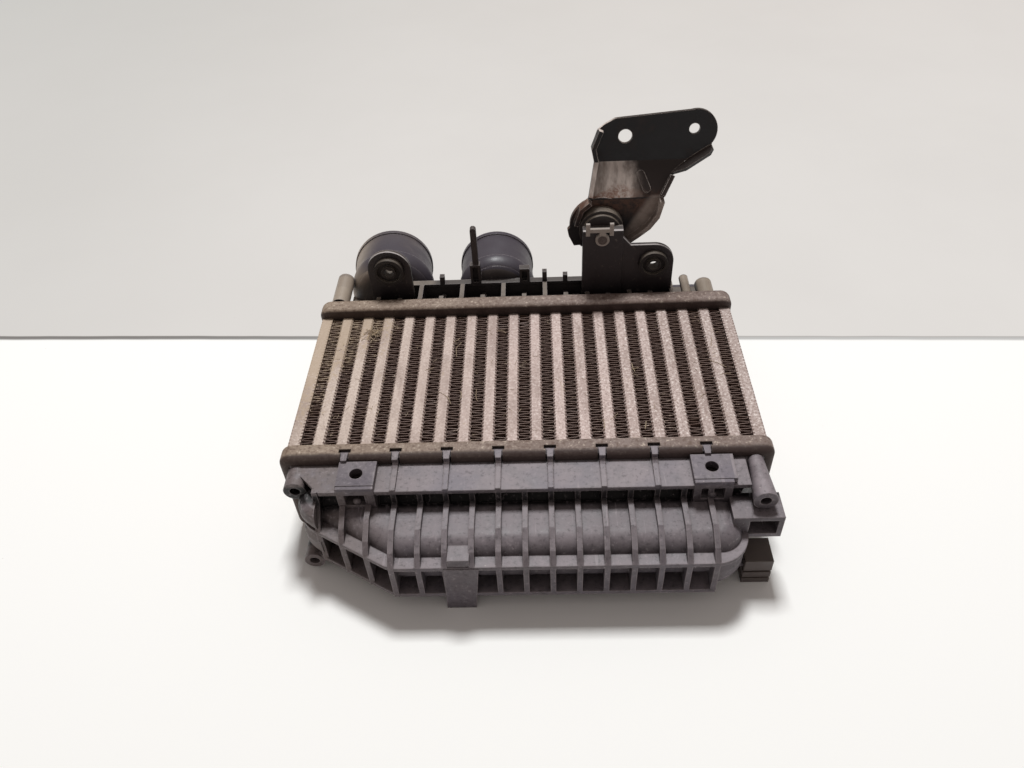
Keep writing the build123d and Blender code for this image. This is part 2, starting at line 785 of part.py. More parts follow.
with BuildPart() as mounting_bracket:
    # the lower plate, which grips the bush
    with BuildSketch(lower_plane):
        Polygon(
            (43.3, 0),
            (37.6, -4.4),
            (34.2, -16.0),
            (30.1, -22.1),
            (31.0, -26.8),
            (34.5, -34.5),
            (69.5, -31.5),
            (77.0, -26.2),
            (84.2, -20.0),
            (89.7, -11.7),
            (92.0, 0),
            align=None,
        )
        with Locations((bush_x, bush_z - web_bottom_z)):
            Circle(bush_radius + 6)
            Circle(bush_neck_radius, mode=Mode.SUBTRACT)
    extrude(amount=bracket_sheet / 2, both=True)
    # the sloping web
    with BuildSketch(web_plane):
        Polygon((43.3, 0), (92.0, 0), (95.6, 13.0), (107.0, web_length), (47.5, web_length), align=None)
    extrude(amount=bracket_sheet / 2, both=True)
    with BuildSketch(web_plane):
        with Locations(Location((79.0, web_length * 0.42), -68)):
            SlotOverall(15, 5)
    extrude(amount=bracket_sheet / 2 + 1.2)
    # the upper plate with its two bolt holes
    with BuildSketch(upper_plane):
        Polygon(
            (47.5, 0),
            (45.5, 9.4),
            (49.6, 20.4),
            (53.6, 23.6),
            (60.5, 27.2),
            (110.8, 31.0),
            (122.5, 22.5),
            (121.5, 8.5),
            (107.0, 0),
            align=None,
        )
        with Locations((small_hole_at[0] + 1, small_hole_at[1] - 1.2)):
            Circle(arm_end_radius)
        with Locations(large_hole_at):
            Circle(large_hole_radius, mode=Mode.SUBTRACT)
        with Locations(small_hole_at):
            Circle(small_hole_radius, mode=Mode.SUBTRACT)
    extrude(amount=bracket_sheet / 2, both=True)
    # folds and turned edges
    fold(bracket_y + bracket_sheet / 2, web_bottom_z, 43.3, 92.0)
    fold(web_top_y, web_top_z, 47.5, 107.0)
    flange(upper_plane, (51.6, 20.8), (47.0, 9.4), (49.0, 0))
    flange(web_plane, (49.0, web_length), (44.7, 0))
    flange(lower_plane, (44.7, 0), (39.0, -4.8), (35.7, -16.0))
    arm_flange(
        upper_plane.from_local_coords(Vector(121.5, 8.5, 0)),
        web_plane.from_local_coords(Vector(96.5, 14.0, 0)),
        upper_plane.z_dir,
    )
    flange(web_plane, (97.0, 12.5), (90.6, 0))
    flange(lower_plane, (90.6, 0), (88.2, -11.2), (83.0, -19.0), (75.6, -25.4), (70.5, -29.3))
save(mounting_bracket.part, "mounting_bracket")


# ---------------------------------------------------------------- bush, pin and clip
def along_y(start_y, end_y, radius, mode=Mode.ADD):
    """A round length of the bush, on the bush's own axis."""
    with BuildSketch(upright(start_y)) as outline:
        with Locations((bush_x, bush_z)):
            Circle(radius)
    extrude(outline.sketch, amount=start_y - end_y, mode=mode)


bush_start = column_y + column_thickness
bush_end = bracket_y + bracket_sheet + 3.7

with BuildPart() as isolator_rubber:
    along_y(bush_start, bush_start + 2.5, bush_neck_radius)
    along_y(bush_start + 2.5, bracket_y, bush_radius)
    along_y(bracket_y, bracket_y + bracket_sheet, bush_neck_radius)
    along_y(bracket_y + bracket_sheet, bush_end, bush_radius)
    along_y(bush_start, bush_end, bush_bore_radius, Mode.SUBTRACT)
save(isolator_rubber.part, "isolator_rubber")

with BuildPart() as isolator_sleeve:
    along_y(bush_start, bush_end, bush_bore_radius)
    along_y(bush_start, bush_end, pin_radius, Mode.SUBTRACT)
save(isolator_sleeve.part, "isolator_sleeve")

with BuildPart() as isolator_pin:
    along_y(column_y - 2.5, bush_end + 2, pin_radius)
save(isolator_pin.part, "isolator_pin")

with BuildPart() as isolator_clip:
    with BuildSketch(upright(column_y - 2)):
        with Locations((clip_x - clip_width / 2, clip_bar_z), (clip_x + clip_width / 2, clip_bar_z)):
            Rectangle(2.6, 8.6)
        with Locations((clip_x, clip_bar_z - 0.6)):
            Rectangle(clip_width, 2.6)
        with Locations((bush_x, bush_z + 3.5)):
            Rectangle(4, 5)
        with Locations((bush_x, bush_z)):
            Circle(4.5)
            Circle(pin_radius, mode=Mode.SUBTRACT)
    extrude(amount=-2)
save(isolator_clip.part, "isolator_clip")


# ---------------------------------------------------------------- grommets, nuts and buffer
def make_grommet(x, radius, slit_length):
    """A rubber disc that stands proud of its lug, with a narrow bore and, on one, a slit above it."""
    with BuildPart() as grommet:
        with BuildSketch(upright(lug_y - grommet_proud)):
            with Locations((x, lug_hole_z)):
                Circle(radius)
                Circle(grommet_bore_radius, mode=Mode.SUBTRACT)
            if slit_length:
                with Locations((x, lug_hole_z + 6.0)):
                    SlotOverall(slit_length, 1.8, mode=Mode.SUBTRACT)
        extrude(amount=-(grommet_proud + lug_thickness))
        for face_y in (lug_y - grommet_proud, lug_y + lug_thickness - 2):
            with BuildSketch(upright(face_y)) as recess:
                with Locations((x, lug_hole_z)):
                    Circle(radius - 2.2)
                    Circle(grommet_bore_radius + 1.6, mode=Mode.SUBTRACT)
            extrude(recess.sketch, amount=-2, mode=Mode.SUBTRACT)
    return grommet.part


save(make_grommet(left_lug_x, left_lug_hole, 0), "left_grommet")
save(make_grommet(right_lug_x, right_lug_hole, 5.4), "right_grommet")

with BuildPart() as boss_nuts:
    with BuildSketch(Plane.XY.offset(nut_floor)):
        with Locations((left_boss_x, boss_hole_y), (right_boss_x, boss_hole_y)):
            RegularPolygon(nut_size / 2, 6, major_radius=False)
            Circle(nut_bore_radius, mode=Mode.SUBTRACT)
    extrude(amount=nut_height)
save(boss_nuts.part, "boss_nuts")

with BuildPart() as rubber_buffer:
    for low, high, inset in (
        (0, 3.6, 0),
        (3.6, 5.2, 2),
        (5.2, 9.6, 0),
        (9.6, 11.4, 2),
        (11.4, buffer_height, 0),
    ):
        block(
            (buffer_left_x + inset, buffer_right_x - inset),
            (buffer_y - buffer_reach + inset, buffer_y - inset),
            (low, high),
        )
    block(
        (buffer_left_x, buffer_left_x + 10),
        (-120, -110.5),
        (base_plate_top - plate_thickness, base_plate_top),
        Mode.SUBTRACT,
    )
save(rubber_buffer.part, "rubber_buffer")
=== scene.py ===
"""Dresses a used tube-and-fin intercooler: finishes for metal, plastic and rubber, fine fins, dust, stage."""
import math
import random

import bmesh
import bpy
from bpy.props import FloatProperty, FloatVectorProperty, IntProperty, PointerProperty
from mathutils import Matrix, Vector


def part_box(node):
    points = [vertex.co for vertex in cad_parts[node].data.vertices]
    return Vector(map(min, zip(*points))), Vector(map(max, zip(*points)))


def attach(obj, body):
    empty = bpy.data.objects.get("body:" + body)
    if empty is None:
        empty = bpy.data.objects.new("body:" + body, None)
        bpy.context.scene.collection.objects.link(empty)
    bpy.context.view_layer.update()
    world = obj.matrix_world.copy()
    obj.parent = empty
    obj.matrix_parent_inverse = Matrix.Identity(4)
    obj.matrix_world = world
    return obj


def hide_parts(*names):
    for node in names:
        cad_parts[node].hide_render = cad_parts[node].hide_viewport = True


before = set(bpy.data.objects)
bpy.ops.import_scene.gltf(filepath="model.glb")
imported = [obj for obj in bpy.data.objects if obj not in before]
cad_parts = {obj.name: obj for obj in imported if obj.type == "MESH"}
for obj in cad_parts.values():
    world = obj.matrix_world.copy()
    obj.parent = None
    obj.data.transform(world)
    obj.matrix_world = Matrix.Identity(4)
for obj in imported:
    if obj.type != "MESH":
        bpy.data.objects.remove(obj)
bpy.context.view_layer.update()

bl_info = {
    "name": "Used intercooler",
    "version": (1, 0, 0),
    "blender": (4, 5, 0),
    "location": "View3D > Sidebar > Intercooler",
    "description": "Dresses the packed intercooler and sets its stage",
    "category": "Object",
}

MM = 0.001
# dry stalks on the core: x, y, turn in degrees and length, in millimetres
STALKS = (
    (-44, -34, 100, 16), (-39, -30, 60, 9), (-28, -32, 130, 12), (-43, 8, 85, 17),
    (-46, 22, 60, 8), (68, -10, 120, 9), (71, -6, 200, 7), (46, -57, 100, 9),
    (50, -50, 40, 8), (118, 12, 75, 10), (124, -8, 110, 14), (119, -14, 20, 8),
    (69, -58, 95, 7), (104, -34, 60, 6), (-12, 30, 150, 8), (-62, -4, 30, 7),
)
STALK_RADIUS = 0.17 * MM
HAIR_RADIUS = 0.09 * MM
# the tuft of fluff near the core's rear left corner
TUFT = (-101.0 * MM, 33.0 * MM)
TUFT_REACH = 5.5 * MM
TUFT_RISE = 1.6 * MM
TUFT_HAIRS = 70
TUFT_HAIR_RADIUS = 0.11 * MM
# pitch of the solder teeth that edge the tubes, and the seed of the random draws
TOOTH_PITCH = 2.54 * MM
SEED = 11
# how far up a fin strip its rows of points stand, and how often its folds are knocked over
FOLD_ROWS = (0.0, 0.88, 0.96, 1.0)
KNOCKS = 0.05
# gap between a strip and its tubes, sway and slant of its walls, and how far its crest is worn down
FOLD_GAP = 0.12 * MM
FOLD_SWAY = 0.2 * MM
FOLD_SLANT = 0.3 * MM
CREST_WEAR = 0.35 * MM
# grid of a boss's front wall, in millimetres, across from its middle and up: the middle cell is the window
BOSS_HALVES = (-10.4, -6.2, 6.2, 10.4)
BOSS_ROWS = (44.2, 48.8, 57.6, 62.7)
BOSS_ROUND = 0.35 * MM
# the nub in the window: radii in millimetres, height, and how far it stands behind the wall's face
NUB_RADII = (2.3, 1.8, 2.1)
NUB_HEIGHT = 51.0 * MM
NUB_BACK = 1.6 * MM
# half the span of a nut along X
NUT_HALF = 5.8 * MM
# half the floor's side, in metres
FLOOR_HALF = 4.0

# where the finishes, the painted shade and the painted highlights change: each is a stretch over which one
# gives way to the next, in metres
# the core and the headers
TUBE_FACE = (0.056, 0.0572)
FIN_CREST = (0.0555, 0.0570)
FIN_SHADE_DEPTH = (0.0525, 0.0566)
FLUFF_DEPTH = (0.053, 0.0565)
FRONT_LIP = (-0.0795, -0.0765)
# the front tank
DIRTY_END = (-0.115, -0.040)
# TROUGH_WALL and TROUGH_TOP bound the painted shade under the shelf
TROUGH_WALL = (-0.1045, -0.1005)
TROUGH_TOP = (0.0555, 0.0575)
SHELF = (0.0575, 0.0588)
BOSS_SIDE = (0.0106, 0.0110)
BOSS_TOP = (0.0605, 0.0615)
# LEDGE and the VESSEL stretches bound the painted shade in the pockets and on the vessel
LEDGE = (0.030, 0.037)
VESSEL_FOOT = (0.0370, 0.0400)
VESSEL_TOP = (0.0565, 0.0580)
VESSEL_RIGHT = (0.0, 0.060)
# the rear tank
PORTS = (0.0888, 0.0895)
LEFT_PORT = (-0.106, -0.098)
PORT_FOOT = (0.050, 0.062)
DUSTY_LEFT = (-0.095, -0.055)
RIGHT_POSTS = (0.100, 0.108)
LUG_RISE = (0.066, 0.070)
LUG_BACK = (0.0735, 0.0755)
LUG_EDGE = (0.0702, 0.0710)
HOOK_RISE = (0.0605, 0.063)
HOOK_FRONT = (0.0765, 0.078)
STRIP_FRONT = (0.0828, 0.0834)
STRIP_START = (-0.066, -0.060)
SPLASH = (0.060, 0.074)
# the bracket
WEB_SIDE = (0.070, 0.083)
WEB_FOOT = (0.120, 0.125)
RUST_TOP = (0.1245, 0.1290)
RUST_SIDE = (0.062, 0.080)
FOLD = (0.1215, 0.1225)
GRIME_FOOT = (0.104, 0.119)
FLANGE_TOP = (0.128, 0.140)
BRIGHT_TOP = (0.1220, 0.1245)
BRIGHT_WIDTH = (-0.011, -0.006)
# a point on the web's free edge and the direction away from it, along X and Z
FREE_EDGE = (0.0909, 0.1204)
FREE_EDGE_OUT = (0.873, 0.49)
# height at which the border of the bare steel starts to lean
WEB_BEND = 0.122

# what the frame says of the core and the nuts
FIN_NODES = sorted(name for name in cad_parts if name.startswith("fin_"))
TUBE_NODES = sorted(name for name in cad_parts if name.startswith("tube_"))
TUBE_X = sum(corner.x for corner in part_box(TUBE_NODES[0])) / 2
TUBE_PITCH = sum(corner.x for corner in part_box(TUBE_NODES[1])) / 2 - TUBE_X
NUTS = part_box("boss_nuts")
BOSS_MIDDLES = (NUTS[0].x + NUT_HALF, NUTS[1].x - NUT_HALF)


def linear(red, green, blue):
    """A colour given as it looks on a screen, from 0 to 255, as Blender's linear colour."""
    def one(value):
        value /= 255
        return value / 12.92 if value <= 0.04045 else ((value + 0.055) / 1.055) ** 2.4
    return (one(red), one(green), one(blue))


def colour(name, description, red, green, blue):
    """A colour property."""
    return FloatVectorProperty(
        name=name, description=description, subtype="COLOR", size=3, min=0, max=1,
        default=linear(red, green, blue),
    )


def length(name, description, millimetres):
    """A length property, in metres."""
    return FloatProperty(
        name=name, description=description, unit="LENGTH", subtype="DISTANCE", precision=5,
        default=millimetres * MM,
    )


def turn(name, description, degrees):
    """An angle property, in radians."""
    return FloatProperty(name=name, description=description, unit="ROTATION", default=math.radians(degrees))


def light_tone(name, description, *tone):
    """The colour of a light, as it is mixed."""
    return FloatVectorProperty(name=name, description=description, subtype="COLOR", default=tone)


def share(name, description, value):
    """A property between nothing and all."""
    return FloatProperty(name=name, description=description, subtype="FACTOR", min=0, max=1, default=value)


# ---------------------------------------------------------------- what a user would change
class CoreSettings(bpy.types.PropertyGroup):
    """The core: tubes, fins and headers."""

    tube_tone: colour("Tube", "Bare aluminium of the tubes", 196, 176, 170)
    tube_dust: colour("Tube dust", "Beige dust on the tubes at the left", 200, 183, 171)
    tube_grey: colour("Tube grey", "Greyer tubes at the right", 172, 158, 153)
    tube_stain: colour("Tube stain", "Darker patches on the tubes", 138, 118, 110)
    # the fins' own colour, also used as painted shade on the tubes where little open air reaches
    fin_and_shade_tone: colour("Fin", "Dirty aluminium of the fins", 98, 76, 68)
    fin_bright: colour("Bright fin", "Rubbed crests of the fins", 196, 176, 160)
    fluff: colour("Fluff", "Dust and fibres caught by the fins", 176, 156, 134)
    header_tone: colour("Header", "Dusty aluminium of the headers", 152, 134, 118)
    header_grey: colour("Grey header", "The headers' right half", 134, 118, 112)
    header_dirt: colour("Header dirt", "Earthy dirt on the headers", 96, 74, 62)
    # painted shade: this colour darkens the front header's rolled lip and the rear header's lower faces
    lip_shade: colour("Lip dirt", "Dark earth on the rolled lips", 50, 33, 30)
    walls: IntProperty(name="Walls", description="Walls along each fin strip", default=61, min=8, max=99)
    hairs: IntProperty(name="Hairs", description="Short hairs strewn on the core", default=90, min=0, max=400)
    sheet: length("Fin sheet", "Thickness of the fins' sheet", 0.55)
    bend: length("Bent fins", "How far knocked fins lean", 0.7)


class TankSettings(bpy.types.PropertyGroup):
    """The two moulded tanks."""

    plastic: colour("Plastic", "Weathered plastic", 92, 84, 88)
    cool: colour("Cool plastic", "Scuffed bluish patches", 104, 99, 110)
    # painted shade: near-black for the trough, corners, pockets and vessel of the tanks, also used for dark
    # grain
    shade_and_dark_grain: colour("Deep plastic", "Plastic in the recesses", 18, 13, 15)
    dust: colour("Dust", "Dust lying on the plastic", 158, 147, 151)
    # edges rubbed pale, together with painted highlights along edges
    rubbed_and_lit_edge: colour("Worn edge", "Edges rubbed pale", 168, 157, 158)
    earth: colour("Earth", "Earthy dirt at the left end", 104, 92, 88)
    black: colour("Black plastic", "The rear tank's cleaner plastic", 42, 36, 38)
    fresh: colour("Port plastic", "Plastic of the hose ports", 66, 60, 68)
    rear_dust: colour("Rear dust", "Dust on the rear tank", 158, 144, 130)
    # dust on faces that look up, which also stands for painted light falling on them from above
    dust_and_top_light: share("Dusting", "How much dust lies on faces that look up", 0.72)
    boss_face: length("Boss face", "Where the bosses' front walls stand, along Y", -102.0)
    boss_wall: length("Boss wall", "Thickness of the bosses' front walls", 2.5)


class BracketSettings(bpy.types.PropertyGroup):
    """The bracket and its rubber bush."""

    paint: colour("Paint", "Black paint", 20, 17, 20)
    grime: colour("Grime", "Brown film on the paint", 50, 39, 35)
    bare: colour("Bare steel", "Steel where the paint is gone", 214, 200, 192)
    stain: colour("Stained steel", "Darker streaks on the bare steel", 146, 132, 124)
    rust: colour("Rust", "Rust at the edge of the paint", 112, 68, 44)
    rubber: colour("Rubber", "Rubber of the bush", 52, 45, 43)
    rubber_dust: colour("Rubber dust", "Dust on the rubber", 140, 128, 116)
    clip: colour("Clip", "Plastic of the clip", 158, 147, 140)


class StageSettings(bpy.types.PropertyGroup):
    """The camera, the floor and the light."""

    lens: FloatProperty(
        name="Lens", description="Focal length on a 36 mm sensor", unit="CAMERA", default=28.828,
    )
    tilt: turn("Tilt", "Camera's angle from straight down", 46.26)
    yaw: turn("Yaw", "Camera's turn to the left", 3.0)
    roll: turn("Roll", "Camera's roll", -3.5)
    place: FloatVectorProperty(
        name="Camera place", description="Where the camera stands", unit="LENGTH", subtype="TRANSLATION",
        default=(0.01139, -0.37943, 0.40422),
    )
    table: colour("Table", "The white table top", 253, 252, 250)
    # painted shade: the dark line is the shade in the gap at the table's edge
    edge: colour("Edge", "The dark line at the table's edge", 96, 90, 86)
    line_y: length("Edge line", "Where the table ends", 93.4)
    line_slope: FloatProperty(name="Line slope", description="The turn of the table's edge", default=0.0416)
    key_power: FloatProperty(name="Lamp", description="Power of the lamp", unit="POWER", default=49.0)
    key_size: length("Lamp size", "Side of the square lamp", 450)
    key_distance: length("Lamp distance", "From the middle of the floor to the lamp", 2400)
    key_height: turn("Lamp height", "The lamp's angle above the floor", 69)
    key_turn: turn("Lamp turn", "The lamp's turn from straight behind", 0)
    key_tone: light_tone("Lamp colour", "Colour of the lamp", 0.98, 1.0, 1.0)
    sky: FloatProperty(name="Sky", description="Strength of the even light", default=0.28, min=0)
    sky_tone: light_tone("Sky colour", "Colour of the even light", 1.0, 0.91, 0.86)


class IntercoolerSettings(bpy.types.PropertyGroup):
    """All the settings."""

    core: PointerProperty(type=CoreSettings)
    tank: PointerProperty(type=TankSettings)
    bracket: PointerProperty(type=BracketSettings)
    stage: PointerProperty(type=StageSettings)


# ---------------------------------------------------------------- finishes
class Finish:
    """A material under construction, with short calls for the nodes that the finishes share."""

    def __init__(self, name):
        self.material = bpy.data.materials.new(name)
        self.material.use_nodes = True
        self.tree = self.material.node_tree
        self.tree.nodes.clear()
        self.output = self.add("ShaderNodeOutputMaterial")
        self.shader = self.add("ShaderNodeBsdfPrincipled")
        self.join(self.shader.outputs[0], self.output.inputs["Surface"])
        self.place = self.add("ShaderNodeTexCoord").outputs["Object"]
        self.geometry = self.add("ShaderNodeNewGeometry")

    def add(self, kind, **settings):
        node = self.tree.nodes.new(kind)
        for key, value in settings.items():
            setattr(node, key, value)
        return node

    def join(self, start, end):
        self.tree.links.new(start, end)

    def feed(self, socket, value):
        """Puts a number, a colour or another node's output into a socket."""
        if isinstance(value, bpy.types.NodeSocket):
            self.join(value, socket)
        elif socket.type == "RGBA":
            socket.default_value = (*value[:3], 1)
        else:
            socket.default_value = value

    def speckle(self, scale, detail=3.0, roughness=0.55, stretch=(1, 1, 1), seed=0.0):
        """Noise between 0 and 1; scale is in features per metre."""
        mapping = self.add("ShaderNodeMapping")
        mapping.inputs["Location"].default_value = (seed, seed * 0.7, seed * 1.3)
        mapping.inputs["Scale"].default_value = stretch
        self.join(self.place, mapping.inputs["Vector"])
        cloud = self.add("ShaderNodeTexNoise")
        cloud.inputs["Scale"].default_value = scale
        cloud.inputs["Detail"].default_value = detail
        cloud.inputs["Roughness"].default_value = roughness
        self.join(mapping.outputs[0], cloud.inputs["Vector"])
        return cloud.outputs["Fac"]

    def grains(self, scale, seed=0.0):
        """Distance to scattered points, for pits and specks."""
        mapping = self.add("ShaderNodeMapping")
        mapping.inputs["Location"].default_value = (seed, seed, seed)
        self.join(self.place, mapping.inputs["Vector"])
        cells = self.add("ShaderNodeTexVoronoi")
        cells.inputs["Scale"].default_value = scale
        self.join(mapping.outputs[0], cells.inputs["Vector"])
        return cells.outputs["Distance"]

    def between(self, value, low, high, to_low=0.0, to_high=1.0):
        """Runs smoothly from to_low to to_high as the value goes from low to high."""
        node = self.add("ShaderNodeMapRange", interpolation_type="SMOOTHSTEP")
        self.feed(node.inputs["Value"], value)
        node.inputs["From Min"].default_value = low
        node.inputs["From Max"].default_value = high
        node.inputs["To Min"].default_value = to_low
        node.inputs["To Max"].default_value = to_high
        return node.outputs["Result"]

    def work(self, kind, first, second=0.5):
        """Arithmetic on two values."""
        node = self.add("ShaderNodeMath", operation=kind)
        self.feed(node.inputs[0], first)
        self.feed(node.inputs[1], second)
        return node.outputs[0]

    def product(self, first, *others):
        """All the values multiplied."""
        for other in others:
            first = self.work("MULTIPLY", first, other)
        return first

    def total(self, first, *others):
        """All the values added up."""
        for other in others:
            first = self.work("ADD", first, other)
        return first

    def minus(self, first, second):
        """The first value less the second."""
        return self.work("SUBTRACT", first, second)

    def most(self, first, *others):
        """The largest of the values."""
        for other in others:
            first = self.work("MAXIMUM", first, other)
        return first

    def below(self, value, low, high):
        """1 up to low, and 0 past high."""
        return self.between(value, low, high, 1.0, 0.0)

    def blend(self, factor, first, second, kind="MIX"):
        """Mixes two colours."""
        node = self.add("ShaderNodeMix", data_type="RGBA", blend_type=kind)
        self.feed(node.inputs["Factor"], factor)
        self.feed(node.inputs[6], first)
        self.feed(node.inputs[7], second)
        return node.outputs[2]

    def axis(self, name):
        """One coordinate of the place on the object."""
        node = self.add("ShaderNodeSeparateXYZ")
        self.join(self.place, node.inputs[0])
        return node.outputs[name]

    def facing(self, name):
        """One coordinate of the surface's direction."""
        node = self.add("ShaderNodeSeparateXYZ")
        self.join(self.geometry.outputs["Normal"], node.inputs[0])
        return node.outputs[name]

    def open_air(self, reach):
        """1 on open surfaces and less in corners and pockets."""
        node = self.add("ShaderNodeAmbientOcclusion", samples=6)
        node.inputs["Distance"].default_value = reach
        return node.outputs["AO"]

    def rim(self, radius, start, full):
        """1 along edges and 0 on flat faces; also gives the softened direction of the surface."""
        soft = self.add("ShaderNodeBevel", samples=4)
        soft.inputs["Radius"].default_value = radius
        dot = self.add("ShaderNodeVectorMath", operation="DOT_PRODUCT")
        self.join(soft.outputs[0], dot.inputs[0])
        self.join(self.geometry.outputs["Normal"], dot.inputs[1])
        turned = self.minus(1.0, dot.outputs["Value"])
        return self.between(turned, start, full), soft.outputs[0]

    def scratches(self, scale, turn, seed):
        """Thin slanted scratches, thinned out in places."""
        mapping = self.add("ShaderNodeMapping")
        mapping.inputs["Location"].default_value = (seed, seed, seed)
        mapping.inputs["Rotation"].default_value = (turn, turn, turn)
        mapping.inputs["Scale"].default_value = (1.0, 0.06, 1.0)
        self.join(self.place, mapping.inputs["Vector"])
        lines = self.add("ShaderNodeTexNoise")
        lines.inputs["Scale"].default_value = scale
        lines.inputs["Detail"].default_value = 2.0
        self.join(mapping.outputs[0], lines.inputs["Vector"])
        thin = self.between(lines.outputs["Fac"], 0.62, 0.70)
        return self.product(thin, self.between(self.speckle(60, 3, 0.6, seed=seed), 0.45, 0.65))

    def relief(self, height, strength, depth, direction=None):
        """A bump from a height."""
        node = self.add("ShaderNodeBump")
        node.inputs["Strength"].default_value = strength
        node.inputs["Distance"].default_value = depth
        self.feed(node.inputs["Height"], height)
        if direction is not None:
            self.join(direction, node.inputs["Normal"])
        return node.outputs[0]

    def finish(self, tint, roughness, direction=None, metallic=0.0, level=0.5):
        """Sets the shader and gives the material."""
        self.feed(self.shader.inputs["Base Color"], tint)
        self.feed(self.shader.inputs["Roughness"], roughness)
        self.feed(self.shader.inputs["Metallic"], metallic)
        self.shader.inputs["Specular IOR Level"].default_value = level
        if direction is not None:
            self.join(direction, self.shader.inputs["Normal"])
        return self.material


def coat(node, material):
    """Gives a node of the frame its finish."""
    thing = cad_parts[node]
    thing.data.materials.clear()
    thing.data.materials.append(material)


def tube_finish(settings):
    """Dull cast-grey aluminium with a granular skin, beige with dust at the left and greyer to the right."""
    make = Finish("tube_aluminium")
    x = make.axis("X")
    grain = make.speckle(1500, 2, 0.7)
    coarse = make.speckle(620, 3, 0.7, seed=2.7)
    patches = make.speckle(46, 4, 0.6, (1, 0.4, 1), 3.1)
    tint = make.blend(make.between(x, -0.13, 0.02), settings.tube_dust, settings.tube_tone)
    tint = make.blend(make.between(x, 0.03, 0.14, 0.0, 0.6), tint, settings.tube_grey)
    tint = make.blend(make.between(patches, 0.40, 0.70, 0.0, 0.6), tint, settings.tube_stain)
    speckled = make.between(x, -0.08, 0.10, 0.3, 0.8)
    dark_grain = make.product(make.below(coarse, 0.36, 0.50), speckled)
    tint = make.blend(dark_grain, tint, settings.tube_stain)
    light_grain = make.product(make.between(coarse, 0.54, 0.66), speckled)
    tint = make.blend(light_grain, tint, linear(230, 220, 214))
    tint = make.blend(make.between(grain, 0.36, 0.48, 0.6, 0.0), tint, settings.tube_stain)
    specks = make.between(make.grains(150, 0.4), 0.0, 0.11, 0.75, 0.0)
    tint = make.blend(specks, tint, settings.header_dirt)
    # painted shade: the tubes darken towards the fins' tone where little open air reaches, beside the fins
    air = make.open_air(0.006)
    tint = make.blend(make.between(air, 0.35, 0.9, 0.8, 0.0), tint, settings.fin_and_shade_tone)
    tint = make.blend(teeth(make, x), tint, settings.fin_and_shade_tone)
    tint = make.blend(make.product(clogged(make, x), 0.7), tint, settings.fluff)
    rough = make.between(grain, 0.2, 0.8, 0.5, 0.75)
    bump = make.relief(make.total(grain, coarse), 0.4, 0.0004)
    return make.finish(tint, rough, bump, metallic=0.2)


def teeth(make, x):
    """The solder teeth where the folds of the fins meet the long edges of the tubes."""
    across = make.work("PINGPONG", make.minus(x, TUBE_X), TUBE_PITCH / 2)
    wave = make.work("SINE", make.product(make.axis("Y"), 2 * math.pi / TOOTH_PITCH))
    reach = make.between(wave, -0.4, 0.4, 0.0038, 0.0026)
    tooth = make.work("GREATER_THAN", across, reach)
    return make.product(tooth, make.between(make.axis("Z"), *TUBE_FACE, 0.0, 0.85))


def clogged(make, x):
    """Where fluff lies on the core: thickest along the left edge and behind, in tufts elsewhere."""
    y = make.axis("Y")
    tufts = make.speckle(430, 5, 0.8, seed=9.4)
    clouds = make.speckle(52, 3, 0.6, seed=4.6)
    slant = make.total(x, make.product(y, -0.55))
    left = make.between(slant, -0.150, -0.080, 0.33, 0.0)
    level = make.total(make.between(clouds, 0.35, 0.75, 0.0, 0.16), left)
    return make.between(make.total(tufts, level), 0.70, 0.76)


def fin_finish(settings):
    """Thin sheet, brown with dirt, rubbed bright on some crests, with fluff in places and painted shade
    deeper down.
    """
    make = Finish("fin_aluminium")
    rise = make.axis("Z")
    crest = make.between(rise, *FIN_CREST)
    knocks = make.speckle(130, 4, 0.7, (1, 1, 0), 7.7)
    rubbed = make.product(crest, make.between(knocks, 0.60, 0.74, 0.0, 0.7))
    dirt = make.speckle(240, 4, 0.7, seed=1.9)
    tint = make.blend(make.between(dirt, 0.4, 0.7, 0.0, 0.5), settings.fin_and_shade_tone, settings.header_dirt)
    tint = make.blend(rubbed, tint, settings.fin_bright)
    fluffy = make.product(clogged(make, make.axis("X")), make.between(rise, *FLUFF_DEPTH))
    fluffy = make.product(fluffy, make.between(dirt, 0.42, 0.62, 0.3, 1.0))
    tint = make.blend(fluffy, tint, settings.fluff)
    # painted shade: the fins darken deeper down between the tubes
    depth = make.between(rise, *FIN_SHADE_DEPTH, 0.92, 0.0)
    tint = make.blend(depth, tint, linear(54, 38, 33))
    return make.finish(tint, 0.6, make.relief(dirt, 0.3, 0.0003), metallic=0.1)


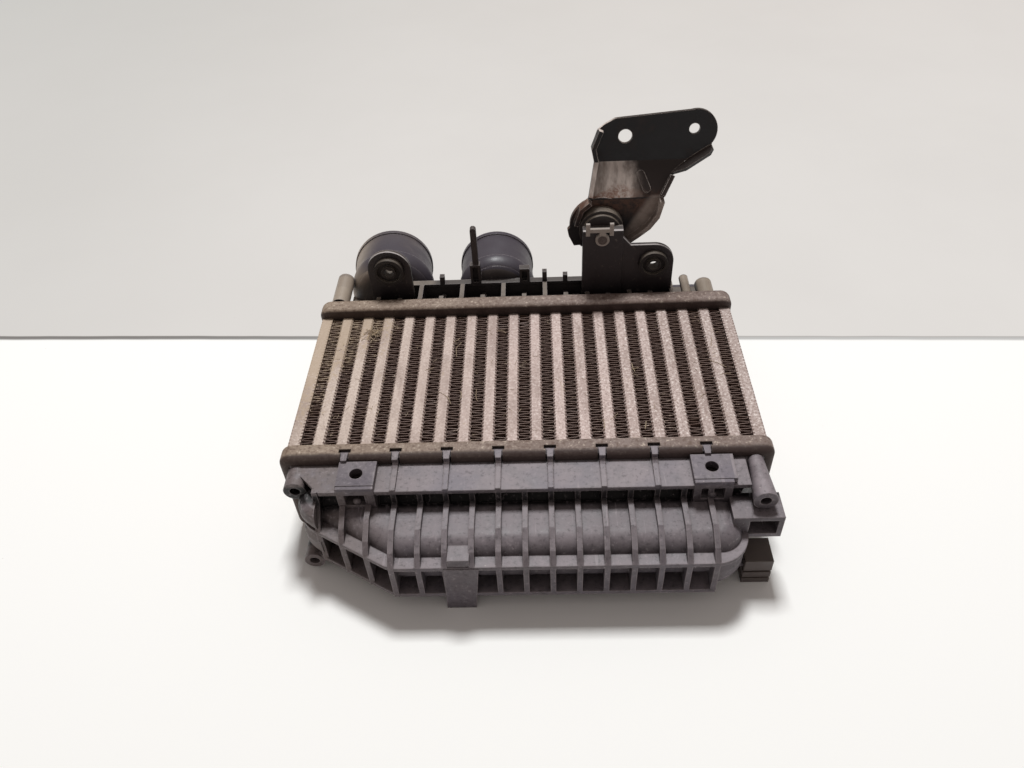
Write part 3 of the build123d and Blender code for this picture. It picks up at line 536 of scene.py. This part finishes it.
def header_finish(settings):
    """Crimped sheet under a film of dust, olive at the left, with painted shade on its rolled lower lip, on
    the rear header's lower faces and in its corners.
    """
    make = Finish("header_aluminium")
    x = make.axis("X")
    y = make.axis("Y")
    fine = make.speckle(900, 3, 0.7)
    coarse = make.speckle(420, 4, 0.75, seed=6.6)
    broad = make.speckle(34, 4, 0.62, seed=5.5)
    edge, soft = make.rim(0.0012, 0.02, 0.25)
    air = make.open_air(0.008)
    tint = make.blend(make.between(x, -0.14, 0.06), settings.header_tone, settings.header_grey)
    dirt = make.product(make.between(broad, 0.34, 0.66), make.between(fine, 0.3, 0.8, 0.5, 1.0))
    tint = make.blend(make.product(dirt, 0.5), tint, settings.header_dirt)
    tint = make.blend(make.between(coarse, 0.36, 0.50, 0.75, 0.0), tint, settings.header_dirt)
    tint = make.blend(make.between(coarse, 0.56, 0.68, 0.0, 0.7), tint, linear(206, 190, 174))
    chips = make.between(make.grains(210, 1.7), 0.0, 0.10, 0.8, 0.0)
    tint = make.blend(chips, tint, linear(226, 214, 204))
    # painted shade on the front lip and on the rear header's faces that don't look up
    rear_face_shade = make.product(make.between(y, 0.0, 0.01), make.below(make.facing("Z"), 0.25, 0.75))
    wander = make.product(make.minus(broad, 0.5), 0.003)
    front_lip_shade = make.below(make.total(y, wander), *FRONT_LIP)
    low = make.most(make.product(front_lip_shade, 0.9), make.product(rear_face_shade, 0.9))
    tint = make.blend(low, tint, settings.lip_shade)
    # painted shade: dark brown where little open air reaches, in corners and under the crimps
    tint = make.blend(make.between(air, 0.3, 0.85, 0.85, 0.0), tint, linear(36, 26, 22))
    tint = make.blend(make.product(edge, 0.25), tint, linear(176, 160, 146))
    bump = make.relief(make.total(fine, coarse), 0.4, 0.0005, soft)
    return make.finish(tint, 0.68, bump, metallic=0.1)


def front_tank_finish(settings):
    """Glass-filled plastic: greyed and dusty on top with painted light there too, painted shade black in its
    recesses, trough and vessel, and edges scuffed pale with painted highlights.
    """
    make = Finish("tank_plastic")
    x = make.axis("X")
    y = make.axis("Y")
    z = make.axis("Z")
    fine = make.speckle(1100, 3, 0.7)
    coarse = make.speckle(420, 4, 0.7, seed=4.9)
    mottle = make.speckle(75, 5, 0.65, seed=2.2)
    broad = make.speckle(22, 3, 0.5, seed=8.8)
    edge, soft = make.rim(0.0011, 0.02, 0.22)
    air = make.open_air(0.018)
    near = make.open_air(0.005)
    # painted light: faces that look up get dust, which also stands for the light falling on them from above
    up = make.between(make.facing("Z"), 0.15, 0.98)
    lying = make.product(up, make.between(mottle, 0.3, 0.68, 0.35, 1.0), settings.dust_and_top_light)
    shelf = make.between(z, *SHELF)
    tint = make.blend(make.between(broad, 0.38, 0.62, 0.0, 0.35), settings.plastic, settings.cool)
    tint = make.blend(lying, tint, settings.dust)
    scuffed = make.product(shelf, make.between(broad, 0.42, 0.6, 0.0, 0.5))
    tint = make.blend(scuffed, tint, settings.cool)
    left_dirt = make.product(make.below(x, *DIRTY_END), make.between(mottle, 0.3, 0.6, 0.3, 0.8))
    tint = make.blend(left_dirt, tint, settings.earth)
    aside = 1.0
    for middle in BOSS_MIDDLES:
        off = make.work("ABSOLUTE", make.minus(x, middle))
        aside = make.product(make.between(off, *BOSS_SIDE), aside)
    # painted shade: the trough under the shelf, beside the bosses, is painted near-black
    trough_shade = make.product(make.between(y, *TROUGH_WALL), make.below(z, *TROUGH_TOP), aside)
    oiled = make.product(make.below(aside, 0.0, 1.0), make.between(z, *BOSS_TOP))
    oiled = make.product(oiled, make.between(mottle, 0.35, 0.62, 0.2, 0.55))
    tint = make.blend(oiled, tint, linear(72, 66, 82))
    # painted shade: corners and pockets where little open air reaches are painted near-black too, more above
    # the ledge
    corner = make.product(make.below(air, 0.12, 0.62), make.between(aside, 0.0, 1.0, 0.3, 0.85))
    corner = make.product(corner, make.between(z, *LEDGE, 0.45, 1.0))
    tint = make.blend(make.most(trough_shade, corner), tint, settings.shade_and_dark_grain)
    # painted shade: the vessel's face is darkened in mottled patches, more towards the right
    vessel_shade = make.product(make.between(z, *VESSEL_FOOT), make.below(z, *VESSEL_TOP))
    vessel_shade = make.product(vessel_shade, make.between(mottle, 0.3, 0.7, 0.16, 0.32))
    vessel_shade = make.product(vessel_shade, make.between(x, *VESSEL_RIGHT, 0.45, 1.0))
    tint = make.blend(vessel_shade, tint, settings.shade_and_dark_grain)
    # edges rubbed pale, which also stand for painted highlights along them
    rubbed_and_lit_edge = make.product(edge, make.between(near, 0.55, 0.85))
    tint = make.blend(make.product(rubbed_and_lit_edge, 0.75), tint, settings.rubbed_and_lit_edge)
    tint = make.blend(make.between(coarse, 0.55, 0.70, 0.0, 0.4), tint, settings.dust)
    tint = make.blend(make.between(coarse, 0.33, 0.46, 0.4, 0.0), tint, settings.shade_and_dark_grain)
    scratch = make.scratches(520, 0.9, 3.3)
    tint = make.blend(make.product(scratch, 0.5), tint, settings.dust)
    specks = make.between(make.grains(110, 0.7), 0.0, 0.055, 0.8, 0.0)
    tint = make.blend(specks, tint, linear(200, 190, 186))
    rough = make.between(mottle, 0.2, 0.8, 0.42, 0.66)
    bump = make.relief(make.total(fine, coarse), 0.25, 0.0004, soft)
    return make.finish(tint, rough, bump, level=0.45)


def rear_tank_finish(settings):
    """The same plastic, blacker: dust and earth at its left end, purple-grey hose ports, painted shade in its
    corners and painted highlights on its lug tops and upper edges.
    """
    make = Finish("rear_tank_plastic")
    x = make.axis("X")
    y = make.axis("Y")
    z = make.axis("Z")
    up_face = make.facing("Z")
    fine = make.speckle(1100, 3, 0.7)
    coarse = make.speckle(420, 4, 0.7, seed=4.9)
    mottle = make.speckle(75, 5, 0.65, seed=2.2)
    edge, soft = make.rim(0.0011, 0.02, 0.22)
    air = make.open_air(0.015)
    port = make.between(y, *PORTS)
    body = make.minus(1.0, port)
    tint = make.blend(port, settings.black, settings.fresh)
    up = make.between(up_face, 0.1, 0.8)
    left = make.below(make.total(x, make.product(mottle, 0.03)), *DUSTY_LEFT)
    right = make.between(x, *RIGHT_POSTS)
    amount = make.total(make.most(left, make.product(right, 0.8)), 0.45)
    lugs = make.product(make.between(z, *LUG_RISE), make.below(y, *LUG_BACK))
    amount = make.product(amount, up, make.between(mottle, 0.25, 0.6, 0.6, 1.0), body)
    amount = make.product(amount, make.between(lugs, 0.0, 1.0, 1.0, 0.2))
    tint = make.blend(make.work("MINIMUM", amount, 0.95), tint, settings.rear_dust)
    hooks = make.product(body, make.between(z, *HOOK_RISE), make.between(y, *HOOK_FRONT), 0.55)
    tint = make.blend(hooks, tint, linear(96, 82, 76))
    strip = make.product(make.between(y, *STRIP_FRONT), make.between(x, *STRIP_START), body, 0.7)
    tint = make.blend(strip, tint, settings.black)
    # painted highlight: a near-white band on the lugs' upward faces near their front
    lug_top_highlight = make.product(lugs, up, make.below(y, *LUG_EDGE), 0.8)
    tint = make.blend(lug_top_highlight, tint, linear(190, 182, 180))
    low_left = make.product(make.below(x, *LEFT_PORT), make.below(z, *PORT_FOOT), port, 0.8)
    tint = make.blend(low_left, tint, settings.rear_dust)
    front = make.between(make.facing("Y"), -0.9, -0.6)
    splash = make.product(left, front, make.below(z, *SPLASH), 0.85)
    tint = make.blend(splash, tint, settings.rear_dust)
    # painted shade: near-black where little open air reaches
    tint = make.blend(make.between(air, 0.15, 0.6, 0.9, 0.0), tint, settings.shade_and_dark_grain)
    # painted highlight: edges that face up are made pale
    crest = make.product(edge, make.between(up_face, -0.1, 0.5), 0.75)
    tint = make.blend(crest, tint, settings.rubbed_and_lit_edge)
    dots = make.product(make.between(coarse, 0.60, 0.74, 0.0, 0.25), body)
    tint = make.blend(dots, tint, settings.rear_dust)
    rough = make.between(mottle, 0.2, 0.8, 0.34, 0.6)
    bump = make.relief(make.total(fine, coarse), 0.16, 0.0003, soft)
    return make.finish(tint, rough, bump, level=0.5)


def bracket_finish(settings):
    """Black paint with steel rubbed bare on the sloping web, rust at its border, bright edges, and a painted
    highlight on flange faces that look to the right.
    """
    make = Finish("bracket_paint")
    x = make.axis("X")
    z = make.axis("Z")
    fine = make.speckle(1300, 3, 0.7)
    coarse = make.speckle(380, 4, 0.75, seed=2.4)
    patches = make.speckle(90, 5, 0.65, seed=4.4)
    streaks = make.speckle(160, 4, 0.7, (1, 0.3, 0.3), 3.8)
    edge, soft = make.rim(0.0009, 0.03, 0.25)
    tint = make.blend(make.between(patches, 0.48, 0.75, 0.0, 0.45), settings.paint, settings.grime)
    web = make.between(make.facing("Z"), 0.4, 0.65)
    wander = make.product(make.minus(patches, 0.5), 0.016)
    border = make.total(x, wander, make.product(make.minus(z, WEB_BEND), 0.35))
    rubbed = make.product(web, make.below(border, *WEB_SIDE))
    rubbed = make.product(rubbed, make.between(make.total(z, wander), *WEB_FOOT))
    bare = make.blend(make.between(streaks, 0.35, 0.7), settings.bare, settings.stain)
    tint = make.blend(make.product(web, 0.8), tint, settings.grime)
    tint = make.blend(rubbed, tint, bare)
    band = make.below(make.total(z, wander), *RUST_TOP)
    rusty = make.product(band, web, make.between(coarse, 0.42, 0.58, 0.2, 0.85))
    rusty = make.product(rusty, make.between(x, *RUST_SIDE, 1.0, 0.25))
    tint = make.blend(rusty, tint, settings.rust)
    under = make.product(make.below(z, *FOLD), make.between(z, *GRIME_FOOT))
    under = make.product(under, make.between(coarse, 0.36, 0.60, 0.2, 0.9))
    tint = make.blend(under, tint, linear(84, 58, 46))
    sideways = make.product(make.minus(x, FREE_EDGE[0]), FREE_EDGE_OUT[0])
    outward = make.total(sideways, make.product(make.minus(FREE_EDGE[1], z), FREE_EDGE_OUT[1]))
    bright = make.product(make.between(outward, *BRIGHT_WIDTH), make.below(z, *BRIGHT_TOP))
    bright = make.product(bright, make.between(patches, 0.3, 0.6, 0.55, 0.95))
    tint = make.blend(bright, tint, settings.stain)
    # painted highlight: flange faces that look to the right, below the flange top, are made lighter
    flange_highlight = make.product(make.between(make.facing("X"), 0.25, 0.7), make.below(z, *FLANGE_TOP), 0.75)
    tint = make.blend(flange_highlight, tint, settings.stain)
    chipped = make.product(edge, make.between(patches, 0.3, 0.6, 0.25, 0.85))
    tint = make.blend(chipped, tint, settings.bare)
    rough = make.between(patches, 0.3, 0.7, 0.34, 0.55)
    return make.finish(tint, rough, make.relief(fine, 0.2, 0.0003, soft), level=0.35)


def rubber_finish(name, base, dust, amount):
    """Dusty moulded rubber with a painted highlight, in the dust's colour, along its upper edges."""
    make = Finish(name)
    fine = make.speckle(1400, 3, 0.7)
    broad = make.speckle(120, 4, 0.6, seed=6.1)
    edge, soft = make.rim(0.0008, 0.03, 0.3)
    up = make.between(make.facing("Z"), 0.1, 0.9)
    lying = make.product(up, amount, make.between(broad, 0.3, 0.7, 0.5, 1.0))
    tint = make.blend(lying, base, dust)
    # painted highlight: edges, mostly those that face up, are made lighter in the dust's colour
    crest = make.product(edge, make.between(make.facing("Z"), -0.2, 0.5, 0.1, 0.8))
    tint = make.blend(crest, tint, dust)
    rough = make.between(broad, 0.2, 0.8, 0.4, 0.7)
    return make.finish(tint, rough, make.relief(fine, 0.3, 0.0003, soft), level=0.4)


def steel_finish():
    """Dull steel with fine scratches."""
    make = Finish("pin_steel")
    lines = make.speckle(700, 3, 0.6, (1, 6, 1), 1.2)
    tint = make.blend(make.between(lines, 0.35, 0.7, 0.0, 0.6), linear(104, 96, 92), linear(70, 61, 58))
    rough = make.between(lines, 0.2, 0.8, 0.3, 0.5)
    return make.finish(tint, rough, make.relief(lines, 0.2, 0.0002), metallic=0.6)


def clip_finish(settings):
    """Pale moulded plastic gone beige."""
    make = Finish("clip_plastic")
    broad = make.speckle(160, 4, 0.6)
    edge, soft = make.rim(0.0006, 0.03, 0.3)
    tint = make.blend(make.between(broad, 0.35, 0.7, 0.0, 0.5), settings.clip, settings.rubber_dust)
    tint = make.blend(make.product(edge, 0.4), tint, linear(222, 214, 202))
    return make.finish(tint, 0.55, make.relief(broad, 0.2, 0.0003, soft))


# ---------------------------------------------------------------- shapes
def add_piece(name, shape):
    """Makes a finished shape an object of the scene."""
    mesh = bpy.data.meshes.new(name)
    shape.to_mesh(mesh)
    shape.free()
    piece = bpy.data.objects.new(name, mesh)
    bpy.context.scene.collection.objects.link(piece)
    return piece


def fold_strip(node, settings, chance):
    """One fin strip: a sheet folded to and fro between its two tubes, with some folds knocked over."""
    low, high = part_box(node)
    columns = 3 * settings.walls
    last_row = len(FOLD_ROWS) - 1
    strip = bmesh.new()
    bmesh.ops.create_grid(strip, x_segments=columns - 1, y_segments=last_row, size=0.5)
    lean = [0.0] * settings.walls
    for start in range(settings.walls):
        if chance.random() < KNOCKS:
            push = chance.uniform(-1, 1) * settings.bend
            for wall in range(start, min(start + chance.randint(1, 4), settings.walls)):
                lean[wall] = push
    inset = FOLD_GAP + settings.sheet / 2
    reach = (high.x - low.x) / 2 - inset
    run = high.y - low.y - 2 * inset
    sway = [chance.uniform(-FOLD_SWAY, FOLD_SWAY) for wall in range(settings.walls)]
    for vertex in strip.verts:
        wall, step = divmod(round((vertex.co.x + 0.5) * (columns - 1)), 3)
        row = round((vertex.co.y + 0.5) * last_row)
        side = (step - 1) * (1 if wall % 2 else -1)
        x = (low.x + high.x) / 2 + side * reach
        y = low.y + inset + (wall + 0.5) / settings.walls * run + sway[wall] + (step - 1) * FOLD_SLANT
        z = low.z + FOLD_ROWS[row] * (high.z - low.z)
        if row > 1:
            y += lean[wall] * (row - 1) / 2
        if row == last_row:
            z -= chance.random() * CREST_WEAR + abs(lean[wall]) * 0.25
        vertex.co = (x, min(max(y, low.y + inset), high.y - inset), z)
    bmesh.ops.recalc_face_normals(strip, faces=strip.faces)
    piece = add_piece(node.replace("fin", "folded_fin"), strip)
    skin = piece.modifiers.new("sheet", "SOLIDIFY")
    skin.thickness = settings.sheet
    skin.offset = 0
    return piece


def fibre(shape, start, turn, reach, radius, chance):
    """One dry stalk or hair: a thin three-sided rod that wanders over the core's face."""
    steps = 7
    corners = ((-1, 0), (1, 0), (0, 1.6))
    x, y, z = start
    rings = []
    for step in range(steps):
        across_x, across_y = -math.sin(turn) * radius, math.cos(turn) * radius
        rings.append([
            shape.verts.new((x + across_x * side, y + across_y * side, z + radius * rise))
            for side, rise in corners
        ])
        turn += chance.uniform(-0.45, 0.45)
        x += math.cos(turn) * reach / steps
        y += math.sin(turn) * reach / steps
        z = start[2] + math.sin((step + 1) / steps * math.pi) * chance.uniform(0.0, 0.5) * MM
    for first, second in zip(rings, rings[1:]):
        for corner in range(3):
            following = (corner + 1) % 3
            shape.faces.new((first[corner], first[following], second[following], second[corner]))
    shape.faces.new(rings[0][::-1])
    shape.faces.new(rings[-1])


def lay_fibres(name, settings, chance):
    """Dry stalks and hairs that lie on the core, and the tuft near its rear left corner."""
    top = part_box(TUBE_NODES[0])[1].z
    left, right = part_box("side_plate_left")[0].x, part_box("side_plate_right")[1].x
    front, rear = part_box("side_plate_left")[0].y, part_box("side_plate_left")[1].y
    around = 2 * math.pi
    shape = bmesh.new()
    for x, y, turn, reach in STALKS:
        fibre(shape, (x * MM, y * MM, top), math.radians(turn), reach * MM, STALK_RADIUS, chance)
    for count in range(settings.hairs):
        x = left + (right - left) * (0.03 + 0.92 * chance.random() ** 1.3)
        y = front + (rear - front) * (0.08 + 0.86 * chance.random())
        turn, reach = chance.uniform(0, around), chance.uniform(1.5, 5) * MM
        fibre(shape, (x, y, top), turn, reach, HAIR_RADIUS, chance)
    for count in range(TUFT_HAIRS):
        turn = chance.uniform(0, around)
        far = TUFT_REACH * chance.random() ** 0.7
        x = TUFT[0] + math.cos(turn) * far
        y = TUFT[1] + math.sin(turn) * far * 1.2
        z = top + (1 - far / TUFT_REACH) * TUFT_RISE * chance.random()
        turn, reach = chance.uniform(0, around), chance.uniform(2, 5) * MM
        fibre(shape, (x, y, z), turn, reach, TUFT_HAIR_RADIUS, chance)
    bmesh.ops.recalc_face_normals(shape, faces=shape.faces)
    return add_piece(name, shape)


def fibre_finish(settings):
    """Pale dry plant fibre."""
    make = Finish("dry_fibre")
    tone = make.speckle(180, 3, 0.6, seed=2.0)
    tint = make.blend(make.between(tone, 0.35, 0.65), settings.fluff, linear(214, 196, 168))
    return make.finish(tint, 0.8, make.relief(tone, 0.2, 0.0002), level=0.2)


def boss_face(name, middle, settings):
    """A boss's front wall with its window, and the blunt end of the nut's cage that shows in it."""
    wall = bmesh.new()
    bmesh.ops.create_grid(wall, x_segments=3, y_segments=3, size=0.5)
    for vertex in wall.verts:
        column = BOSS_HALVES[round((vertex.co.x + 0.5) * 3)]
        row = BOSS_ROWS[round((vertex.co.y + 0.5) * 3)]
        vertex.co = (middle + column * MM, settings.boss_face, row * MM)
    centre = Vector((middle, settings.boss_face, (BOSS_ROWS[1] + BOSS_ROWS[2]) / 2 * MM))
    window = min(wall.faces, key=lambda face: (face.calc_center_median() - centre).length)
    bmesh.ops.delete(wall, geom=[window], context="FACES_ONLY")
    thick = bmesh.ops.extrude_face_region(wall, geom=list(wall.faces))
    back = [part for part in thick["geom"] if isinstance(part, bmesh.types.BMVert)]
    bmesh.ops.translate(wall, verts=back, vec=(0, settings.boss_wall, 0))
    bmesh.ops.recalc_face_normals(wall, faces=wall.faces)
    sharp = [edge for edge in wall.edges if len(edge.link_faces) == 2 and edge.calc_face_angle() > 1]
    bmesh.ops.bevel(
        wall, geom=sharp, offset=BOSS_ROUND, segments=2, profile=0.5, affect="EDGES",
        clamp_overlap=True, material=-1,
    )
    place = Matrix.Translation((middle, settings.boss_face + NUB_BACK, NUB_HEIGHT))
    bmesh.ops.create_uvsphere(
        wall, u_segments=16, v_segments=10, radius=MM, matrix=place @ Matrix.Diagonal((*NUB_RADII, 1))
    )
    return add_piece(name, wall)


# ---------------------------------------------------------------- operators
class COOLER_OT_core(bpy.types.Operator):
    """Finish the tubes and side plates"""

    bl_idname = "cooler.core"
    bl_label = "Tubes"

    def execute(self, context):
        finish = tube_finish(context.scene.intercooler.core)
        for node in TUBE_NODES + ["side_plate_left", "side_plate_right"]:
            coat(node, finish)
        return {"FINISHED"}


class COOLER_OT_fins(bpy.types.Operator):
    """Fold the fine fins between the tubes"""

    bl_idname = "cooler.fins"
    bl_label = "Fins"

    def execute(self, context):
        settings = context.scene.intercooler.core
        finish = fin_finish(settings)
        chance = random.Random(SEED)
        for node in FIN_NODES:
            coat(node, finish)
            piece = fold_strip(node, settings, chance)
            piece.data.materials.append(finish)
            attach(piece, "root")
            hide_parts(node)
        lint = lay_fibres("dry_fibres", settings, chance)
        lint.data.materials.append(fibre_finish(settings))
        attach(lint, "root")
        return {"FINISHED"}


class COOLER_OT_headers(bpy.types.Operator):
    """Finish the crimped headers and their gaskets"""

    bl_idname = "cooler.headers"
    bl_label = "Headers"

    def execute(self, context):
        settings = context.scene.intercooler
        finish = header_finish(settings.core)
        coat("header_front", finish)
        coat("header_rear", finish)
        gasket = rubber_finish("gasket_rubber", linear(30, 28, 28), linear(80, 72, 66), 0.4)
        coat("gasket_front", gasket)
        coat("gasket_rear", gasket)
        return {"FINISHED"}


class COOLER_OT_tanks(bpy.types.Operator):
    """Finish the two moulded tanks"""

    bl_idname = "cooler.tanks"
    bl_label = "Tanks"

    def execute(self, context):
        settings = context.scene.intercooler.tank
        front = front_tank_finish(settings)
        coat("tank_front", front)
        coat("tank_rear", rear_tank_finish(settings))
        for name, middle in zip(("left_boss_face", "right_boss_face"), BOSS_MIDDLES):
            piece = boss_face(name, middle, settings)
            piece.data.materials.append(front)
            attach(piece, "root")
        return {"FINISHED"}


class COOLER_OT_bracket(bpy.types.Operator):
    """Finish the bracket, its bush, the pin and the clip"""

    bl_idname = "cooler.bracket"
    bl_label = "Bracket"

    def execute(self, context):
        settings = context.scene.intercooler.bracket
        coat("mounting_bracket", bracket_finish(settings))
        coat("isolator_rubber", rubber_finish("bush_rubber", settings.rubber, settings.rubber_dust, 0.8))
        steel = steel_finish()
        for node in ("isolator_sleeve", "isolator_pin", "boss_nuts"):
            coat(node, steel)
        coat("isolator_clip", clip_finish(settings))
        return {"FINISHED"}


class COOLER_OT_rubbers(bpy.types.Operator):
    """Finish the grommets and the buffer"""

    bl_idname = "cooler.rubbers"
    bl_label = "Grommets and buffer"

    def execute(self, context):
        settings = context.scene.intercooler.bracket
        grommet = rubber_finish("grommet_rubber", linear(32, 26, 25), settings.rubber_dust, 0.45)
        coat("left_grommet", grommet)
        coat("right_grommet", grommet)
        coat("rubber_buffer", rubber_finish("buffer_rubber", linear(86, 77, 75), settings.rubber_dust, 0.25))
        return {"FINISHED"}


class COOLER_OT_stage(bpy.types.Operator):
    """Set the floor, the lamps and the camera"""

    bl_idname = "cooler.stage"
    bl_label = "Stage"

    def execute(self, context):
        settings = context.scene.intercooler.stage
        scene = context.scene
        scene.view_settings.view_transform = "Standard"
        set_floor(settings)
        set_light(scene, settings)
        set_camera(scene, settings)
        return {"FINISHED"}


def set_floor(settings):
    """One wide floor: a white table top that ends at a line of painted shade, with a greyer tone beyond it.
    """
    shape = bmesh.new()
    bmesh.ops.create_grid(shape, x_segments=1, y_segments=1, size=FLOOR_HALF)
    floor = add_piece("table_top", shape)
    make = Finish("table_top")
    x = make.axis("X")
    y = make.axis("Y")
    wobble = make.product(make.minus(make.speckle(9, 3), 0.5), 0.0025)
    along = make.total(y, make.product(x, settings.line_slope), wobble)
    end = settings.line_y
    beyond = make.between(along, end - 0.8 * MM, end + 0.8 * MM)
    near_edge = make.between(along, end - 4.5 * MM, end - 1.8 * MM)
    past_edge = make.below(along, end + 0.2 * MM, end + 1.8 * MM)
    left = make.product(make.below(x, -0.35, 0.25), 0.35)
    # painted shade: a dark line along the gap at the table's edge, darker at the left
    gap_shade_line = make.product(near_edge, past_edge, make.total(left, 0.5))
    low = make.blend(make.between(x, -0.55, -0.1), linear(215, 212, 208), linear(227, 223, 219))
    high = make.blend(make.between(x, -1.1, 0.5), linear(201, 200, 196), linear(218, 212, 207))
    wall = make.blend(make.between(y, 0.1, 1.3), low, high)
    cloud = make.between(make.speckle(5, 4, 0.6), 0.25, 0.75, 0.0, 0.12)
    wall = make.blend(cloud, wall, linear(198, 193, 188))
    tint = make.blend(beyond, settings.table, wall)
    tint = make.blend(gap_shade_line, tint, settings.edge)
    specks = make.between(make.grains(46, 0.3), 0.0, 0.020, 0.6, 0.0)
    tint = make.blend(specks, tint, linear(150, 138, 128))
    make.finish(tint, 0.9, level=0.1)
    # seen directly or in a shiny part, the surface beyond the table shows its colour as it is
    glow = make.add("ShaderNodeEmission")
    make.join(tint, glow.inputs["Color"])
    path = make.add("ShaderNodeLightPath").outputs
    seen = make.most(path["Is Camera Ray"], path["Is Glossy Ray"], path["Is Transmission Ray"])
    lit = make.between(along, end - 6 * MM, end, 0.0, 0.99)
    mix = make.add("ShaderNodeMixShader")
    make.join(make.product(seen, lit), mix.inputs[0])
    make.join(make.shader.outputs[0], mix.inputs[1])
    make.join(glow.outputs[0], mix.inputs[2])
    make.join(mix.outputs[0], make.output.inputs["Surface"])
    floor.data.materials.append(make.material)


def set_light(scene, settings):
    """A dim even sky and one soft lamp, high up behind the part."""
    world = bpy.data.worlds.new("studio")
    scene.world = world
    world.use_nodes = True
    sky = world.node_tree.nodes["Background"]
    sky.inputs["Color"].default_value = (*settings.sky_tone, 1)
    sky.inputs["Strength"].default_value = settings.sky
    key = bpy.data.lights.new("key", "AREA")
    key.shape = "SQUARE"
    key.size = settings.key_size
    key.energy = settings.key_power
    key.color = settings.key_tone
    lamp = bpy.data.objects.new("key", key)
    lamp.matrix_world = (
        Matrix.Rotation(settings.key_turn, 4, "Z")
        @ Matrix.Rotation(settings.key_height - math.pi / 2, 4, "X")
        @ Matrix.Translation((0, 0, settings.key_distance))
    )
    scene.collection.objects.link(lamp)


def set_camera(scene, settings):
    """The camera, from its tilt, yaw and roll."""
    view = bpy.data.cameras.new("camera")
    view.lens = settings.lens
    view.sensor_width = 36
    view.clip_start = 0.01
    camera = bpy.data.objects.new("camera", view)
    camera.matrix_world = (
        Matrix.Translation(settings.place)
        @ Matrix.Rotation(settings.yaw, 4, "Z")
        @ Matrix.Rotation(settings.tilt, 4, "X")
        @ Matrix.Rotation(settings.roll, 4, "Z")
    )
    scene.collection.objects.link(camera)
    scene.camera = camera


class COOLER_PT_panel(bpy.types.Panel):
    """The sidebar panel"""

    bl_idname = "COOLER_PT_panel"
    bl_label = "Intercooler"
    bl_space_type = "VIEW_3D"
    bl_region_type = "UI"
    bl_category = "Intercooler"

    def draw(self, context):
        for step in STEPS:
            self.layout.operator(step.bl_idname)


STEPS = (
    COOLER_OT_core,
    COOLER_OT_fins,
    COOLER_OT_headers,
    COOLER_OT_tanks,
    COOLER_OT_bracket,
    COOLER_OT_rubbers,
    COOLER_OT_stage,
)
SETTINGS = (CoreSettings, TankSettings, BracketSettings, StageSettings, IntercoolerSettings)


def register():
    for group in SETTINGS + STEPS + (COOLER_PT_panel,):
        bpy.utils.register_class(group)
    bpy.types.Scene.intercooler = PointerProperty(type=IntercoolerSettings)


def unregister():
    del bpy.types.Scene.intercooler
    for group in reversed(SETTINGS + STEPS + (COOLER_PT_panel,)):
        bpy.utils.unregister_class(group)


def main():
    """Runs every step."""
    register()
    for step in STEPS:
        group, name = step.bl_idname.split(".")
        getattr(getattr(bpy.ops, group), name)()


if __name__ == "__main__":
    main()
